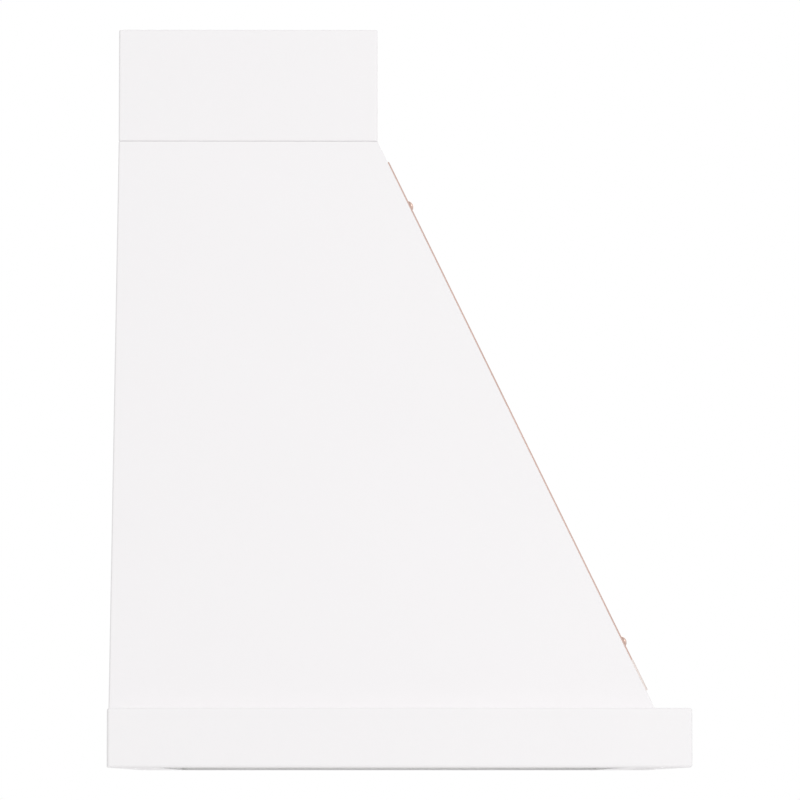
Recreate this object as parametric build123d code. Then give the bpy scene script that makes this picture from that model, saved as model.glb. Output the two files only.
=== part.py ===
from build123d import *
import os
from math import atan2, cos, hypot, pi, sin, sqrt

# Wall range hood: a flat apron band, a tapered canopy with riveted copper straps and a short chimney cover,
# with three hinged baffle filters, lamps and push buttons underneath and a centrifugal blower inside.
# Millimetres. +Z is up, the wall is the plane y = 0 and the front faces -Y. The origin is on the wall, on the
# centre line, level with the underside.

# Outer form
HOOD_WIDTH = 914.4
HOOD_DEPTH = 609.6
APRON_HEIGHT = 62.0
LEDGE = 37.0
CANOPY_HEIGHT = 620.0
CHIMNEY_WIDTH = 457.2
CHIMNEY_DEPTH = 282.0
CHIMNEY_HEIGHT = 122.5

# Painted sheet and its flanges
SHEET = 1.5
APRON_BEND_INSIDE = 1.5
CANOPY_BEND = 2.0
LAP = 18.0
REAR_FLANGE = 25.0
CHIMNEY_HEM = 12.0
PANEL_SHEET = 1.2
PANEL_CLEARANCE = 2.0
WALL_HOLE_RADIUS = 4.5
WALL_HOLE_SPACING = 360.0
WALL_HOLE_RISE = 220.0
WALL_HOLE_LOW = 250.0

# Copper trim on the sloping front
STRAP_WIDTH = 38.0
STRAP_THICKNESS = 1.6
STRAP_TOP_GAP = 26.0
TRIM_EDGE_GAP = 2.0
TRIM_ROUND = 0.7
BAND_WIDTH = 35.3
BAND_THICKNESS = 2.0
BAND_FOOT_GAP = 20.7
RIVET_RADIUS = 6.3
RIVET_DOME = 4.0
RIVET_SHANK = 2.5
RIVET_TAIL = 3.0
RIVET_TOP_INSET = 53.0
RIVET_FOOT_INSET = 22.0

# Underside rim and the liner round the filter opening
RIM_REAR = 51.0
RIM_FRONT = 66.0
RIM_SIDE = 45.0
LINER_SHEET = 1.2
LINER_FOOT = 10.0
LINER_TOP_GAP = 4.0
CROSSBAR_WIDTH = 8.0
CROSSBAR_SHEET = 1.0
ROD_RADIUS = 3.0
ROD_HEAD_RADIUS = 5.0
ROD_HEAD = 2.0
ROD_WALL_GAP = 8.0
ROD_RISE = 6.0
CATCH_WIDTH = 40.0
CATCH_DEPTH = 12.0
CATCH_HEIGHT = 7.0

# Baffle filters
FILTER_NAMES = ("left", "centre", "right")
FILTER_THICKNESS = 20.0
FILTER_HEADROOM = 12.5
FILTER_SIDE_GAP = 1.5
FILTER_FRONT_GAP = 3.0
FILTER_SHEET = 1.0
FILTER_LIP = 16.0
FILTER_TOP_LIP = 10.0
HOOK_WIDTH = 18.0
HOOK_SPACING = 150.0
HOOK_TAIL = 2.5
BAFFLES_LOWER = 7
BAFFLE_WIDTH = 26.0
BAFFLE_LEG = 11.5
BAFFLE_FOLD = 2.5
DRAIN_LENGTH = 9.0
DRAIN_WIDTH = 5.0
HANDLE_RADIUS = 3.0
HANDLE_SPAN = 96.0
HANDLE_DROP = 18.0
HANDLE_BEND = 9.0

# Lamps and controls in the front strip of the rim
LAMP_SPACING = 520.0
LENS_RADIUS = 19.0
LENS_FLANGE = 2.5
LENS_THICKNESS = 3.0
LAMP_WALL = 3.5
LAMP_HEIGHT = 20.0
LAMP_FINS = 5
LAMP_FIN_DEPTH = 9.0
LAMP_FIN_SLOT = 3.0
BUTTON_NAMES = ("power", "light", "low_speed", "medium_speed", "high_speed")
BUTTON_RADIUS = 7.0
BUTTON_PITCH = 24.0
BUTTON_TRAVEL = 1.5
BUTTON_SINK = 0.4
BUTTON_COLLAR = 2.0
BUTTON_COLLAR_HEIGHT = 1.5
BUTTON_STEM_RADIUS = 3.0
BUTTON_STEM = 3.0
BUTTON_ROUND = 0.6
BUTTON_DISH_RADIUS = 5.0
BUTTON_DISH = 0.6
PLATE_CORNER = 2.0
PLATE_THICKNESS = 2.0
PLATE_WINDOW_MARGIN = 5.0
PLATE_LAP = 6.0
HOUSING_WALL = 2.0
HOUSING_HEIGHT = 28.0
HOUSING_RIB = 2.5
HOUSING_RIB_HEIGHT = 4.0
BOARD_THICKNESS = 1.6
SWITCH_SIDE = 6.0
SWITCH_HEIGHT = 4.0

# Blower deck, duct collar and damper
DECK_SHEET = 1.5
DECK_CLEARANCE = 1.0
DECK_HOLE_GAP = 4.0
COLLAR_RADIUS = 100.0
COLLAR_WALL = 1.2
COLLAR_HEIGHT = 50.0
COLLAR_FLANGE = 20.0
STOP_RING = 5.0
STOP_RING_HEIGHT = 1.5
STOP_RING_RISE = 8.0
DAMPER_PIN_RADIUS = 2.0
DAMPER_PIN_OFFSET = 5.0
DAMPER_KNUCKLE_RADIUS = 3.2
DAMPER_SHEET = 1.0
DAMPER_RIM_GAP = 1.5
DAMPER_KNUCKLE_END = 14.0
DAMPER_BEAD = 1.5
DAMPER_BEAD_SPAN = 130.0
TRANSITION_HEIGHT = 68.0
TRANSITION_WALL = 1.2

# Blower
WHEEL_RADIUS = 100.0
WHEEL_WIDTH = 190.0
WHEEL_END_GAP = 13.0
BLADES = 36
BLADE_DEPTH = 15.0
BLADE_SHEET = 1.2
BLADE_LEAD = 8.0
BLADE_CAMBER = 1.5
WHEEL_RING_HEIGHT = 3.0
HUB_SHEET = 2.0
HUB_RADIUS = 16.0
HUB_LENGTH = 36.0
TONGUE_GAP = 28.0
VOLUTE_STEP = 26.0
OUTLET_NECK = 160.0
SCROLL_SHEET = 1.2
SCROLL_FLANGE = 14.0
SCROLL_SEAM = 3.0
INLET_LAP = 3.0
INLET_LIP = 9.0
MOTOR_RADIUS = 52.0
MOTOR_LENGTH = 104.0
MOTOR_END = 8.0
MOTOR_BOSS_RADIUS = 15.0
MOTOR_BOSS = 8.0
MOTOR_HUB_GAP = 6.0
MOTOR_BELL = 34.0
MOTOR_GROOVE = 1.2
MOTOR_VENTS = 8
MOTOR_VENT_LENGTH = 18.0
MOTOR_VENT_WIDTH = 6.0
MOTOR_VENT_DEPTH = 7.0
SHAFT_RADIUS = 4.0
SHAFT_TAIL = 4.0
SPIDER_ARMS = 3
SPIDER_WIDTH = 16.0
SPIDER_BAND = 4.0
SPIDER_ARM = 4.0
SPIDER_FOOT = 20.0
SPIDER_STANDOFF = 16.0

# Electrical pieces
BOX_WIDTH = 96.0
BOX_HEIGHT = 86.0
BOX_DEPTH = 38.0
BOX_WALL = 1.5
BOX_LID = 1.5
BOX_SCROLL_GAP = 14.0
KNOCKOUT_RADIUS = 11.0
KNOCKOUT_GROOVE = 0.8
BOX_DECK_GAP = 92.0
CAPACITOR_RADIUS = 18.0
CAPACITOR_LENGTH = 70.0
CAPACITOR_STANDOFF = 3.0
CAPACITOR_TAB_WIDTH = 6.3
CAPACITOR_TAB = 0.8
CAPACITOR_TAB_HEIGHT = 8.0
CLIP_WALL = 1.5
CLIP_HEIGHT = 20.0
GLAND_BORE = 5.5
GLAND_THREAD = 9.5
GLAND_NUT = 13.0
GLAND_NUT_HEIGHT = 6.0
GLAND_CAP_RADIUS = 11.0
GLAND_CAP_ROUND = 3.5
GLAND_HEIGHT = 16.0
GLAND_SIDE_GAP = 78.6
GLAND_REAR_GAP = 48.0

# Fasteners and clearances
SCREW_RADIUS = 2.0
SCREW_HEAD_RADIUS = 4.0
SCREW_HEAD = 2.2
SCREW_TIP = 3.0
SCREW_HOLE_GAP = 0.15
RUNNING_GAP = 0.2
SEAT_GAP = 0.3
CUT_PAST = 1.0

# Levels and faces worked out from the sizes above
HALF_WIDTH = HOOD_WIDTH / 2
CANOPY_LOW = APRON_HEIGHT
CANOPY_HIGH = APRON_HEIGHT + CANOPY_HEIGHT
HOOD_HEIGHT = CANOPY_HIGH + CHIMNEY_HEIGHT
FOOT_HALF = HALF_WIDTH - LEDGE
FOOT_DEPTH = HOOD_DEPTH - LEDGE
CHIMNEY_HALF = CHIMNEY_WIDTH / 2
SIDE_LEAN = atan2(FOOT_HALF - CHIMNEY_HALF, CANOPY_HEIGHT)
FRONT_LEAN = atan2(FOOT_DEPTH - CHIMNEY_DEPTH, CANOPY_HEIGHT)
SLANT = hypot(FOOT_DEPTH - CHIMNEY_DEPTH, CANOPY_HEIGHT)
EDGE_LEAN = atan2(FOOT_HALF - CHIMNEY_HALF, SLANT)
FRONT_NORMAL = (0, -cos(FRONT_LEAN), sin(FRONT_LEAN))
FRONT_FACE = Plane((0, -FOOT_DEPTH, CANOPY_LOW), x_dir=(1, 0, 0), z_dir=FRONT_NORMAL)

OPEN_HALF = HALF_WIDTH - RIM_SIDE
OPEN_FRONT = RIM_FRONT - HOOD_DEPTH
OPEN_REAR = -RIM_REAR
STRIP_Y = (SHEET - HOOD_DEPTH + OPEN_FRONT - LINER_FOOT) / 2
LINER_TOP = APRON_HEIGHT - SHEET - LINER_TOP_GAP

FILTER_TOP = APRON_HEIGHT - SHEET - FILTER_HEADROOM
FILTER_LOW = FILTER_TOP - FILTER_THICKNESS
FILTER_PITCH = (2 * OPEN_HALF + CROSSBAR_WIDTH) / len(FILTER_NAMES)
FILTER_WIDTH = FILTER_PITCH - CROSSBAR_WIDTH - 2 * FILTER_SIDE_GAP
HOOK_INSIDE = ROD_RADIUS + RUNNING_GAP
HOOK_OUTSIDE = HOOK_INSIDE + FILTER_SHEET
ROD_Y = OPEN_REAR - ROD_WALL_GAP
ROD_Z = FILTER_LOW + ROD_RISE
FILTER_REAR = ROD_Y - HOOK_OUTSIDE
FILTER_FRONT = OPEN_FRONT + FILTER_FRONT_GAP
BAFFLE_PITCH = (FILTER_WIDTH - 2 * FILTER_SHEET) / BAFFLES_LOWER
TROUGH_PLACES = [(index - (BAFFLES_LOWER - 1) / 2) * BAFFLE_PITCH for index in range(BAFFLES_LOWER)]
HOOD_PLACES = [place + BAFFLE_PITCH / 2 for place in TROUGH_PLACES[:-1]]

PLATE_TOP = SHEET + PLATE_THICKNESS
BUTTON_HOLE = BUTTON_RADIUS + SEAT_GAP
COLLAR_TOP = PLATE_TOP + BUTTON_COLLAR_HEIGHT
STEM_TOP = COLLAR_TOP + BUTTON_STEM
SWITCH_LOW = STEM_TOP + BUTTON_TRAVEL + SEAT_GAP
BOARD_LOW = SWITCH_LOW + SWITCH_HEIGHT
BOARD_TOP = BOARD_LOW + BOARD_THICKNESS
WINDOW_WIDTH = BUTTON_PITCH * (len(BUTTON_NAMES) - 1) + 2 * (BUTTON_RADIUS + PLATE_WINDOW_MARGIN)
WINDOW_DEPTH = 2 * (BUTTON_RADIUS + PLATE_WINDOW_MARGIN)
PLATE_WIDTH = WINDOW_WIDTH + 2 * PLATE_LAP
PLATE_DEPTH = WINDOW_DEPTH + 2 * PLATE_LAP

DUCT_Y = -CHIMNEY_DEPTH / 2
DECK_TOP = CANOPY_HIGH - SHEET
DECK_LOW = DECK_TOP - DECK_SHEET
COLLAR_INSIDE = COLLAR_RADIUS - COLLAR_WALL
COLLAR_FLANGE_RADIUS = COLLAR_RADIUS + COLLAR_FLANGE
COLLAR_SCREW_CIRCLE = COLLAR_RADIUS + COLLAR_FLANGE / 2
STOP_TOP = DECK_TOP + STOP_RING_RISE + STOP_RING_HEIGHT
DAMPER_Z = STOP_TOP + SEAT_GAP + DAMPER_SHEET / 2

VOLUTE_START = WHEEL_RADIUS + TONGUE_GAP
OUTLET_FRONT_REACH = -VOLUTE_STEP / 2
OUTLET_REAR_REACH = VOLUTE_STEP / 2 + VOLUTE_START + 2 * VOLUTE_STEP
OUTLET_DEPTH = OUTLET_REAR_REACH - OUTLET_FRONT_REACH
SCROLL_HALF = WHEEL_WIDTH / 2 + WHEEL_END_GAP + SCROLL_SHEET
SCROLL_TOP = DECK_LOW - TRANSITION_HEIGHT
WHEEL_Y = DUCT_Y - (OUTLET_REAR_REACH + OUTLET_FRONT_REACH) / 2
WHEEL_Z = SCROLL_TOP - OUTLET_NECK
BLADE_INSIDE = WHEEL_RADIUS - BLADE_DEPTH
INLET_RADIUS = BLADE_INSIDE - INLET_LAP
MOTOR_RIGHT = -HUB_LENGTH / 2 - MOTOR_HUB_GAP - MOTOR_BOSS
MOTOR_LEFT = MOTOR_RIGHT - MOTOR_LENGTH
SPIDER_OUT = -SCROLL_HALF - SPIDER_STANDOFF
SPIDER_REACH = INLET_RADIUS + INLET_LIP + SPIDER_FOOT

PANEL_FACE = -SHEET - PANEL_SHEET
BOX_LEFT = SCROLL_HALF + SCROLL_FLANGE + BOX_SCROLL_GAP
BOX_TOP = DECK_LOW - BOX_DECK_GAP
BOX_FACE = PANEL_FACE - BOX_DEPTH
GLAND_X = CHIMNEY_HALF - GLAND_SIDE_GAP
GLAND_Y = -GLAND_REAR_GAP
CAPACITOR_X = -BOX_LEFT - BOX_WIDTH / 2
CAPACITOR_Y = PANEL_FACE - CAPACITOR_STANDOFF - CAPACITOR_RADIUS


# Small shapes used by many pieces

def block(x_span, y_span, z_span):
    """Rectangular solid between two values on each axis."""
    spans = (x_span, y_span, z_span)
    middle = [(low + high) / 2 for low, high in spans]
    return Pos(*middle) * Box(*[high - low for low, high in spans])


def pin_x(radius, x_span, y, z):
    """Round bar along X."""
    return Pos(sum(x_span) / 2, y, z) * Rot(0, 90, 0) * Cylinder(radius, x_span[1] - x_span[0])


def pin_y(radius, y_span, x, z):
    """Round bar along Y."""
    return Pos(x, sum(y_span) / 2, z) * Rot(90, 0, 0) * Cylinder(radius, y_span[1] - y_span[0])


def pin_z(radius, z_span, x, y):
    """Round bar along Z."""
    return Pos(x, y, sum(z_span) / 2) * Cylinder(radius, z_span[1] - z_span[0])


def outline(*points):
    """Flat face inside a closed run of straight lines."""
    return make_face(Polyline(*points, close=True))


def prism_x(face, x_span):
    """Face drawn in Y and Z, drawn out along X."""
    return extrude(Plane.YZ.offset(x_span[0]) * face, x_span[1] - x_span[0])


def prism_y(face, y_span):
    """Face drawn in X and Z, drawn out along Y."""
    return extrude(Plane.XZ.offset(-y_span[1]) * face, y_span[1] - y_span[0])


def group(shapes):
    """One piece of stock that comes in several separate solids."""
    return Compound([solid for shape in shapes for solid in shape.solids()])


def mirrored(x):
    """The two places that mirror each other about the centre line."""
    return (-x, x)


def cap_ball(radius, height):
    """Radius of the ball whose cap has a given rim radius and height."""
    return (radius**2 + height**2) / (2 * height)


def pan_screw(grip):
    """Screw with a low domed head above z = 0 and its shank below."""
    head = Pos(0, 0, SCREW_HEAD / 2) * Cylinder(SCREW_HEAD_RADIUS, SCREW_HEAD)
    head = fillet(head.edges().group_by(Axis.Z)[-1], SCREW_HEAD / 2)
    return head + Pos(0, 0, -grip / 2) * Cylinder(SCREW_RADIUS, grip)


SCREW_HOLE = SCREW_RADIUS + SCREW_HOLE_GAP


# The taper shared by the canopy and what fits inside it

def taper_half(z, inset=0.0):
    """Half width of the canopy at a height, measured inside its side walls by an inset."""
    return FOOT_HALF - (FOOT_HALF - CHIMNEY_HALF) * (z - CANOPY_LOW) / CANOPY_HEIGHT - inset / cos(SIDE_LEAN)


def taper_front(z, inset=0.0):
    """Y of the canopy's sloping front at a height, measured inside it by an inset."""
    run = (FOOT_DEPTH - CHIMNEY_DEPTH) * (z - CANOPY_LOW) / CANOPY_HEIGHT
    return run - FOOT_DEPTH + inset / cos(FRONT_LEAN)


def taper_plate(inset, y_span, z_span):
    """Trapezium that follows the canopy's leaning sides, as a plate along Y."""
    low, high = z_span
    face = outline(
        (-taper_half(low, inset), low),
        (taper_half(low, inset), low),
        (taper_half(high, inset), high),
        (-taper_half(high, inset), high),
    )
    return prism_y(face, y_span)


def taper_solid(inset, rear, z_span):
    """Solid with the canopy's leaning sides, sloping front and upright back."""
    low, high = z_span
    front_low, front_high = taper_front(low, inset), taper_front(high, inset)
    side = outline((rear, low), (front_low, low), (front_high, high), (rear, high))
    wide = prism_x(side, mirrored(HALF_WIDTH))
    return wide & taper_plate(inset, (-HOOD_DEPTH, rear), z_span)


# Places of the screws

CANOPY_SCREW_X = FOOT_HALF - (LAP + SHEET) / 2
CANOPY_SCREW_FRONT = (LAP + SHEET) / 2 - FOOT_DEPTH
CANOPY_SCREW_REAR = -(LAP + SHEET) / 2
CANOPY_SCREWS = [
    *[(x, CANOPY_SCREW_FRONT) for x in mirrored(FOOT_HALF * 2 / 3)],
    *[(x, CANOPY_SCREW_REAR) for x in mirrored(FOOT_HALF * 2 / 3)],
    *[(x, -FOOT_DEPTH / 2) for x in mirrored(CANOPY_SCREW_X)],
]
CHIMNEY_SCREWS = [
    *[(x, (LAP + SHEET) / 2 - CHIMNEY_DEPTH) for x in mirrored(CHIMNEY_HALF * 2 / 3)],
    *[(x, -CHIMNEY_DEPTH / 3) for x in mirrored(CHIMNEY_HALF - (LAP + SHEET) / 2)],
]
PANEL_LOW = CANOPY_LOW + SHEET + PANEL_CLEARANCE
PANEL_HIGH = DECK_LOW - PANEL_CLEARANCE
PANEL_SCREW_LEVELS = [PANEL_LOW + (PANEL_HIGH - PANEL_LOW) * share for share in (0.1, 0.5, 0.9)]
PANEL_SCREW_INSET = (REAR_FLANGE + SHEET + PANEL_CLEARANCE) / 2
PANEL_SCREWS = [(x, z) for z in PANEL_SCREW_LEVELS for x in mirrored(taper_half(z, PANEL_SCREW_INSET))]
WALL_HOLES = [
    (x, z) for z in (WALL_HOLE_LOW, WALL_HOLE_LOW + WALL_HOLE_RISE) for x in mirrored(WALL_HOLE_SPACING / 2)
]
COLLAR_SCREWS = [
    (COLLAR_SCREW_CIRCLE * cos(turn), DUCT_Y + COLLAR_SCREW_CIRCLE * sin(turn))
    for turn in [pi / 3 * step for step in range(6)]
]
OUTLET_SCREWS = [
    (x, y)
    for x in mirrored(SCROLL_HALF + SCROLL_FLANGE / 2)
    for y in (DUCT_Y - OUTLET_DEPTH / 3, DUCT_Y + OUTLET_DEPTH / 3)
]
SPIDER_TURNS = [pi / 2 + 2 * pi * step / SPIDER_ARMS for step in range(SPIDER_ARMS)]
SPIDER_SCREW_CIRCLE = SPIDER_REACH - SPIDER_FOOT / 2
SPIDER_SCREWS = [
    (WHEEL_Y + SPIDER_SCREW_CIRCLE * cos(turn), WHEEL_Z + SPIDER_SCREW_CIRCLE * sin(turn))
    for turn in SPIDER_TURNS
]
LAMP_PLACES = mirrored(LAMP_SPACING / 2)
BUTTON_PLACES = [(index - (len(BUTTON_NAMES) - 1) / 2) * BUTTON_PITCH for index in range(len(BUTTON_NAMES))]
FILTER_PLACES = [(index - (len(FILTER_NAMES) - 1) / 2) * FILTER_PITCH for index in range(len(FILTER_NAMES))]
CROSSBAR_PLACES = [(left + right) / 2 for left, right in zip(FILTER_PLACES, FILTER_PLACES[1:])]


def holes_z(places, radius, z_span):
    """Upright round cutters at a list of places."""
    return [pin_z(radius, z_span, x, y) for x, y in places]


# Painted casing

def apron_band():
    """Apron: four walls, ledge and underside rim in bent sheet, with the rear wall square at its foot."""
    whole = block(mirrored(HALF_WIDTH), (-HOOD_DEPTH, 0), (0, APRON_HEIGHT))
    hollow = block(mirrored(HALF_WIDTH - SHEET), (SHEET - HOOD_DEPTH, -SHEET), (SHEET, APRON_HEIGHT - SHEET))
    bends = whole.edges().filter_by(lambda edge: edge.center().Y < -SHEET or edge.center().Z > SHEET)
    shell = fillet(bends, APRON_BEND_INSIDE + SHEET) - fillet(hollow.edges(), APRON_BEND_INSIDE)
    middle = APRON_HEIGHT / 2
    top_hole = block(mirrored(FOOT_HALF - LAP), (LAP - FOOT_DEPTH, -LAP), (middle, APRON_HEIGHT + CUT_PAST))
    filter_hole = block(mirrored(OPEN_HALF), (OPEN_FRONT, OPEN_REAR), (-CUT_PAST, middle))
    window_span = (STRIP_Y - WINDOW_DEPTH / 2, STRIP_Y + WINDOW_DEPTH / 2)
    window = block(mirrored(WINDOW_WIDTH / 2), window_span, (-CUT_PAST, middle))
    window = fillet(window.edges().filter_by(Axis.Z), PLATE_WINDOW_MARGIN)
    lamp_holes = [pin_z(LENS_RADIUS + SEAT_GAP, (-CUT_PAST, middle), x, STRIP_Y) for x in LAMP_PLACES]
    screw_holes = holes_z(CANOPY_SCREWS, SCREW_HOLE, (middle, APRON_HEIGHT + CUT_PAST))
    return shell - [top_hole, filter_hole, window, *lamp_holes, *screw_holes]


def canopy_shell():
    """Tapered canopy: sloping front, two leaning sides, and flanges turned in at the back, top and foot."""
    whole = taper_solid(0, 0, (CANOPY_LOW, CANOPY_HIGH))
    bends = whole.edges().filter_by(lambda edge: edge.center().Z > CANOPY_LOW + CANOPY_BEND)
    shell = fillet(bends, CANOPY_BEND) - taper_solid(SHEET, -SHEET, (CANOPY_LOW + SHEET, CANOPY_HIGH - SHEET))
    foot_span = (CANOPY_LOW - CUT_PAST, CANOPY_LOW + SHEET + CUT_PAST)
    top_span = (CANOPY_HIGH - SHEET - CUT_PAST, CANOPY_HIGH + CUT_PAST)
    foot_hole = block(mirrored(FOOT_HALF - LAP), (LAP - FOOT_DEPTH, -LAP), foot_span)
    top_hole = block(mirrored(CHIMNEY_HALF - LAP), (LAP - CHIMNEY_DEPTH, -LAP), top_span)
    rear_span = (CANOPY_LOW + REAR_FLANGE, CANOPY_HIGH - REAR_FLANGE)
    rear_hole = taper_plate(REAR_FLANGE, (-SHEET - CUT_PAST, CUT_PAST), rear_span)
    rivet_hole = Cylinder(RIVET_SHANK + SCREW_HOLE_GAP, 4 * SHEET)
    rivet_holes = [FRONT_FACE.location * Pos(u, v, 0) * rivet_hole for u, v in RIVETS]
    foot_screws = holes_z(CANOPY_SCREWS, SCREW_HOLE, foot_span)
    top_screws = holes_z(CHIMNEY_SCREWS, SCREW_HOLE, top_span)
    rear_screws = [pin_y(SCREW_HOLE, (-SHEET - CUT_PAST, CUT_PAST), x, z) for x, z in PANEL_SCREWS]
    return shell - [foot_hole, top_hole, rear_hole, *rivet_holes, *foot_screws, *top_screws, *rear_screws]


def back_panel():
    """Plate inside the canopy's rear flanges, with the four holes for the wall bolts."""
    plate = taper_plate(SHEET + PANEL_CLEARANCE, (PANEL_FACE, -SHEET), (PANEL_LOW, PANEL_HIGH))
    hole_span = (PANEL_FACE - CUT_PAST, 0)
    wall_holes = [pin_y(WALL_HOLE_RADIUS, hole_span, x, z) for x, z in WALL_HOLES]
    screw_holes = [pin_y(SCREW_HOLE, hole_span, x, z) for x, z in PANEL_SCREWS]
    return plate - [*wall_holes, *screw_holes]


def chimney_cover():
    """Chimney: front and sides with rear returns, a hem at the top and a screwed flange at the foot."""
    whole = block(mirrored(CHIMNEY_HALF), (-CHIMNEY_DEPTH, 0), (CANOPY_HIGH, HOOD_HEIGHT))
    inside_span = (CANOPY_HIGH + SHEET, HOOD_HEIGHT - SHEET)
    hollow = block(mirrored(CHIMNEY_HALF - SHEET), (SHEET - CHIMNEY_DEPTH, -SHEET), inside_span)
    middle = (CANOPY_HIGH + HOOD_HEIGHT) / 2
    foot_span = (CANOPY_HIGH - CUT_PAST, middle)
    foot_hole = block(mirrored(CHIMNEY_HALF - LAP), (LAP - CHIMNEY_DEPTH, CUT_PAST), foot_span)
    top_span = (middle, HOOD_HEIGHT + CUT_PAST)
    top_hole = block(mirrored(CHIMNEY_HALF - CHIMNEY_HEM), (CHIMNEY_HEM - CHIMNEY_DEPTH, CUT_PAST), top_span)
    rear_span = (CANOPY_HIGH - CUT_PAST, HOOD_HEIGHT + CUT_PAST)
    rear_hole = block(mirrored(CHIMNEY_HALF - REAR_FLANGE), (-LAP, CUT_PAST), rear_span)
    screw_span = (CANOPY_HIGH - CUT_PAST, CANOPY_HIGH + SHEET + CUT_PAST)
    screw_holes = holes_z(CHIMNEY_SCREWS, SCREW_HOLE, screw_span)
    return fillet(whole.edges(), CANOPY_BEND) - hollow - [foot_hole, top_hole, rear_hole, *screw_holes]


# Copper trim, drawn on the sloping front: u runs across and v runs up the slope

def trim_u(v, inset):
    """Distance from the centre line to a line that runs inside the front's leaning edge by an inset."""
    return FOOT_HALF - (FOOT_HALF - CHIMNEY_HALF) * v / SLANT - inset / cos(EDGE_LEAN)


BAND_TOP = BAND_FOOT_GAP + BAND_WIDTH
STRAP_TOP = SLANT - STRAP_TOP_GAP
RIVETS = [
    (side * trim_u(v, TRIM_EDGE_GAP + STRAP_WIDTH / 2), v)
    for side in (-1, 1)
    for v in (BAND_TOP + RIVET_FOOT_INSET, STRAP_TOP - RIVET_TOP_INSET)
]


def trim_plate(points, thickness):
    """Flat copper on the sloping front, with its outer edges eased."""
    plate = extrude(FRONT_FACE * outline(*points), thickness)
    outer = plate.faces().sort_by(Axis((0, 0, 0), FRONT_FACE.z_dir))[-1]
    return fillet(outer.edges(), TRIM_ROUND)


def strap(side):
    """Copper strap along one edge of the front, from the lower band nearly to the top."""
    inner = TRIM_EDGE_GAP + STRAP_WIDTH
    ends = ((BAND_TOP, TRIM_EDGE_GAP), (STRAP_TOP, TRIM_EDGE_GAP), (STRAP_TOP, inner), (BAND_TOP, inner))
    plate = trim_plate([(side * trim_u(v, inset), v) for v, inset in ends], STRAP_THICKNESS)
    hole = Cylinder(RIVET_SHANK + SCREW_HOLE_GAP, 4 * STRAP_THICKNESS)
    return plate - [FRONT_FACE.location * Pos(u, v, 0) * hole for u, v in RIVETS if u * side > 0]


def lower_band():
    """Thicker copper band across the foot of the front."""
    low, high = trim_u(BAND_FOOT_GAP, TRIM_EDGE_GAP), trim_u(BAND_TOP, TRIM_EDGE_GAP)
    corners = [(-low, BAND_FOOT_GAP), (low, BAND_FOOT_GAP), (high, BAND_TOP), (-high, BAND_TOP)]
    return trim_plate(corners, BAND_THICKNESS)


def strap_rivets():
    """Domed rivets through the straps and the canopy front."""
    ball = cap_ball(RIVET_RADIUS, RIVET_DOME)
    above = block(mirrored(ball), mirrored(ball), (0, 2 * ball))
    dome = Pos(0, 0, RIVET_DOME - ball) * Sphere(ball) & above
    length = STRAP_THICKNESS + SHEET + RIVET_TAIL
    rivet = dome + Pos(0, 0, -length / 2) * Cylinder(RIVET_SHANK, length)
    return group([FRONT_FACE.location * Pos(u, v, STRAP_THICKNESS) * rivet for u, v in RIVETS])


# Liner round the filter opening

def filter_liner():
    """Upright steel frame round the filter opening, standing on the rim by its turned-out foot."""
    z_wall = (SHEET, LINER_TOP)
    z_foot = (SHEET, SHEET + LINER_SHEET)
    wall_span = (OPEN_FRONT - LINER_SHEET, OPEN_REAR + LINER_SHEET)
    foot_span = (OPEN_FRONT - LINER_FOOT, OPEN_REAR + LINER_FOOT)
    wall = block(mirrored(OPEN_HALF + LINER_SHEET), wall_span, z_wall)
    foot = block(mirrored(OPEN_HALF + LINER_FOOT), foot_span, z_foot)
    hole = block(mirrored(OPEN_HALF), (OPEN_FRONT, OPEN_REAR), (0, APRON_HEIGHT))
    rod_hole = pin_x(ROD_RADIUS + SCREW_HOLE_GAP, mirrored(HALF_WIDTH), ROD_Y, ROD_Z)
    return wall + foot - [hole, rod_hole]


def filter_crossbars():
    """Folded channels between the filter bays, open at the top."""
    half = CROSSBAR_WIDTH / 2
    y_span = (OPEN_FRONT, OPEN_REAR)
    bar = block(mirrored(half), y_span, (FILTER_LOW, FILTER_TOP))
    trough_span = (FILTER_LOW + CROSSBAR_SHEET, FILTER_TOP + CUT_PAST)
    bar -= block(mirrored(half - CROSSBAR_SHEET), y_span, trough_span)
    bar -= pin_x(ROD_RADIUS + SCREW_HOLE_GAP, mirrored(CROSSBAR_WIDTH), ROD_Y, ROD_Z)
    return group([Pos(x, 0, 0) * bar for x in CROSSBAR_PLACES])


def filter_rod():
    """Rod along the back of the opening, from which the filters hang, headed at both ends."""
    reach = OPEN_HALF + LINER_SHEET
    heads = [pin_x(ROD_HEAD_RADIUS, (reach, reach + ROD_HEAD), ROD_Y, ROD_Z)]
    heads.append(pin_x(ROD_HEAD_RADIUS, (-reach - ROD_HEAD, -reach), ROD_Y, ROD_Z))
    return pin_x(ROD_RADIUS, mirrored(reach), ROD_Y, ROD_Z) + heads


def filter_catches():
    """Magnets on the liner's front wall that hold each filter's front edge up."""
    y_span = (OPEN_FRONT, OPEN_FRONT + CATCH_DEPTH)
    low = FILTER_TOP + SEAT_GAP
    magnet = block(mirrored(CATCH_WIDTH / 2), y_span, (low, low + CATCH_HEIGHT))
    return group([Pos(x, 0, 0) * magnet for x in FILTER_PLACES])


# Baffle filters, drawn on the centre line and shifted to their bays

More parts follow.
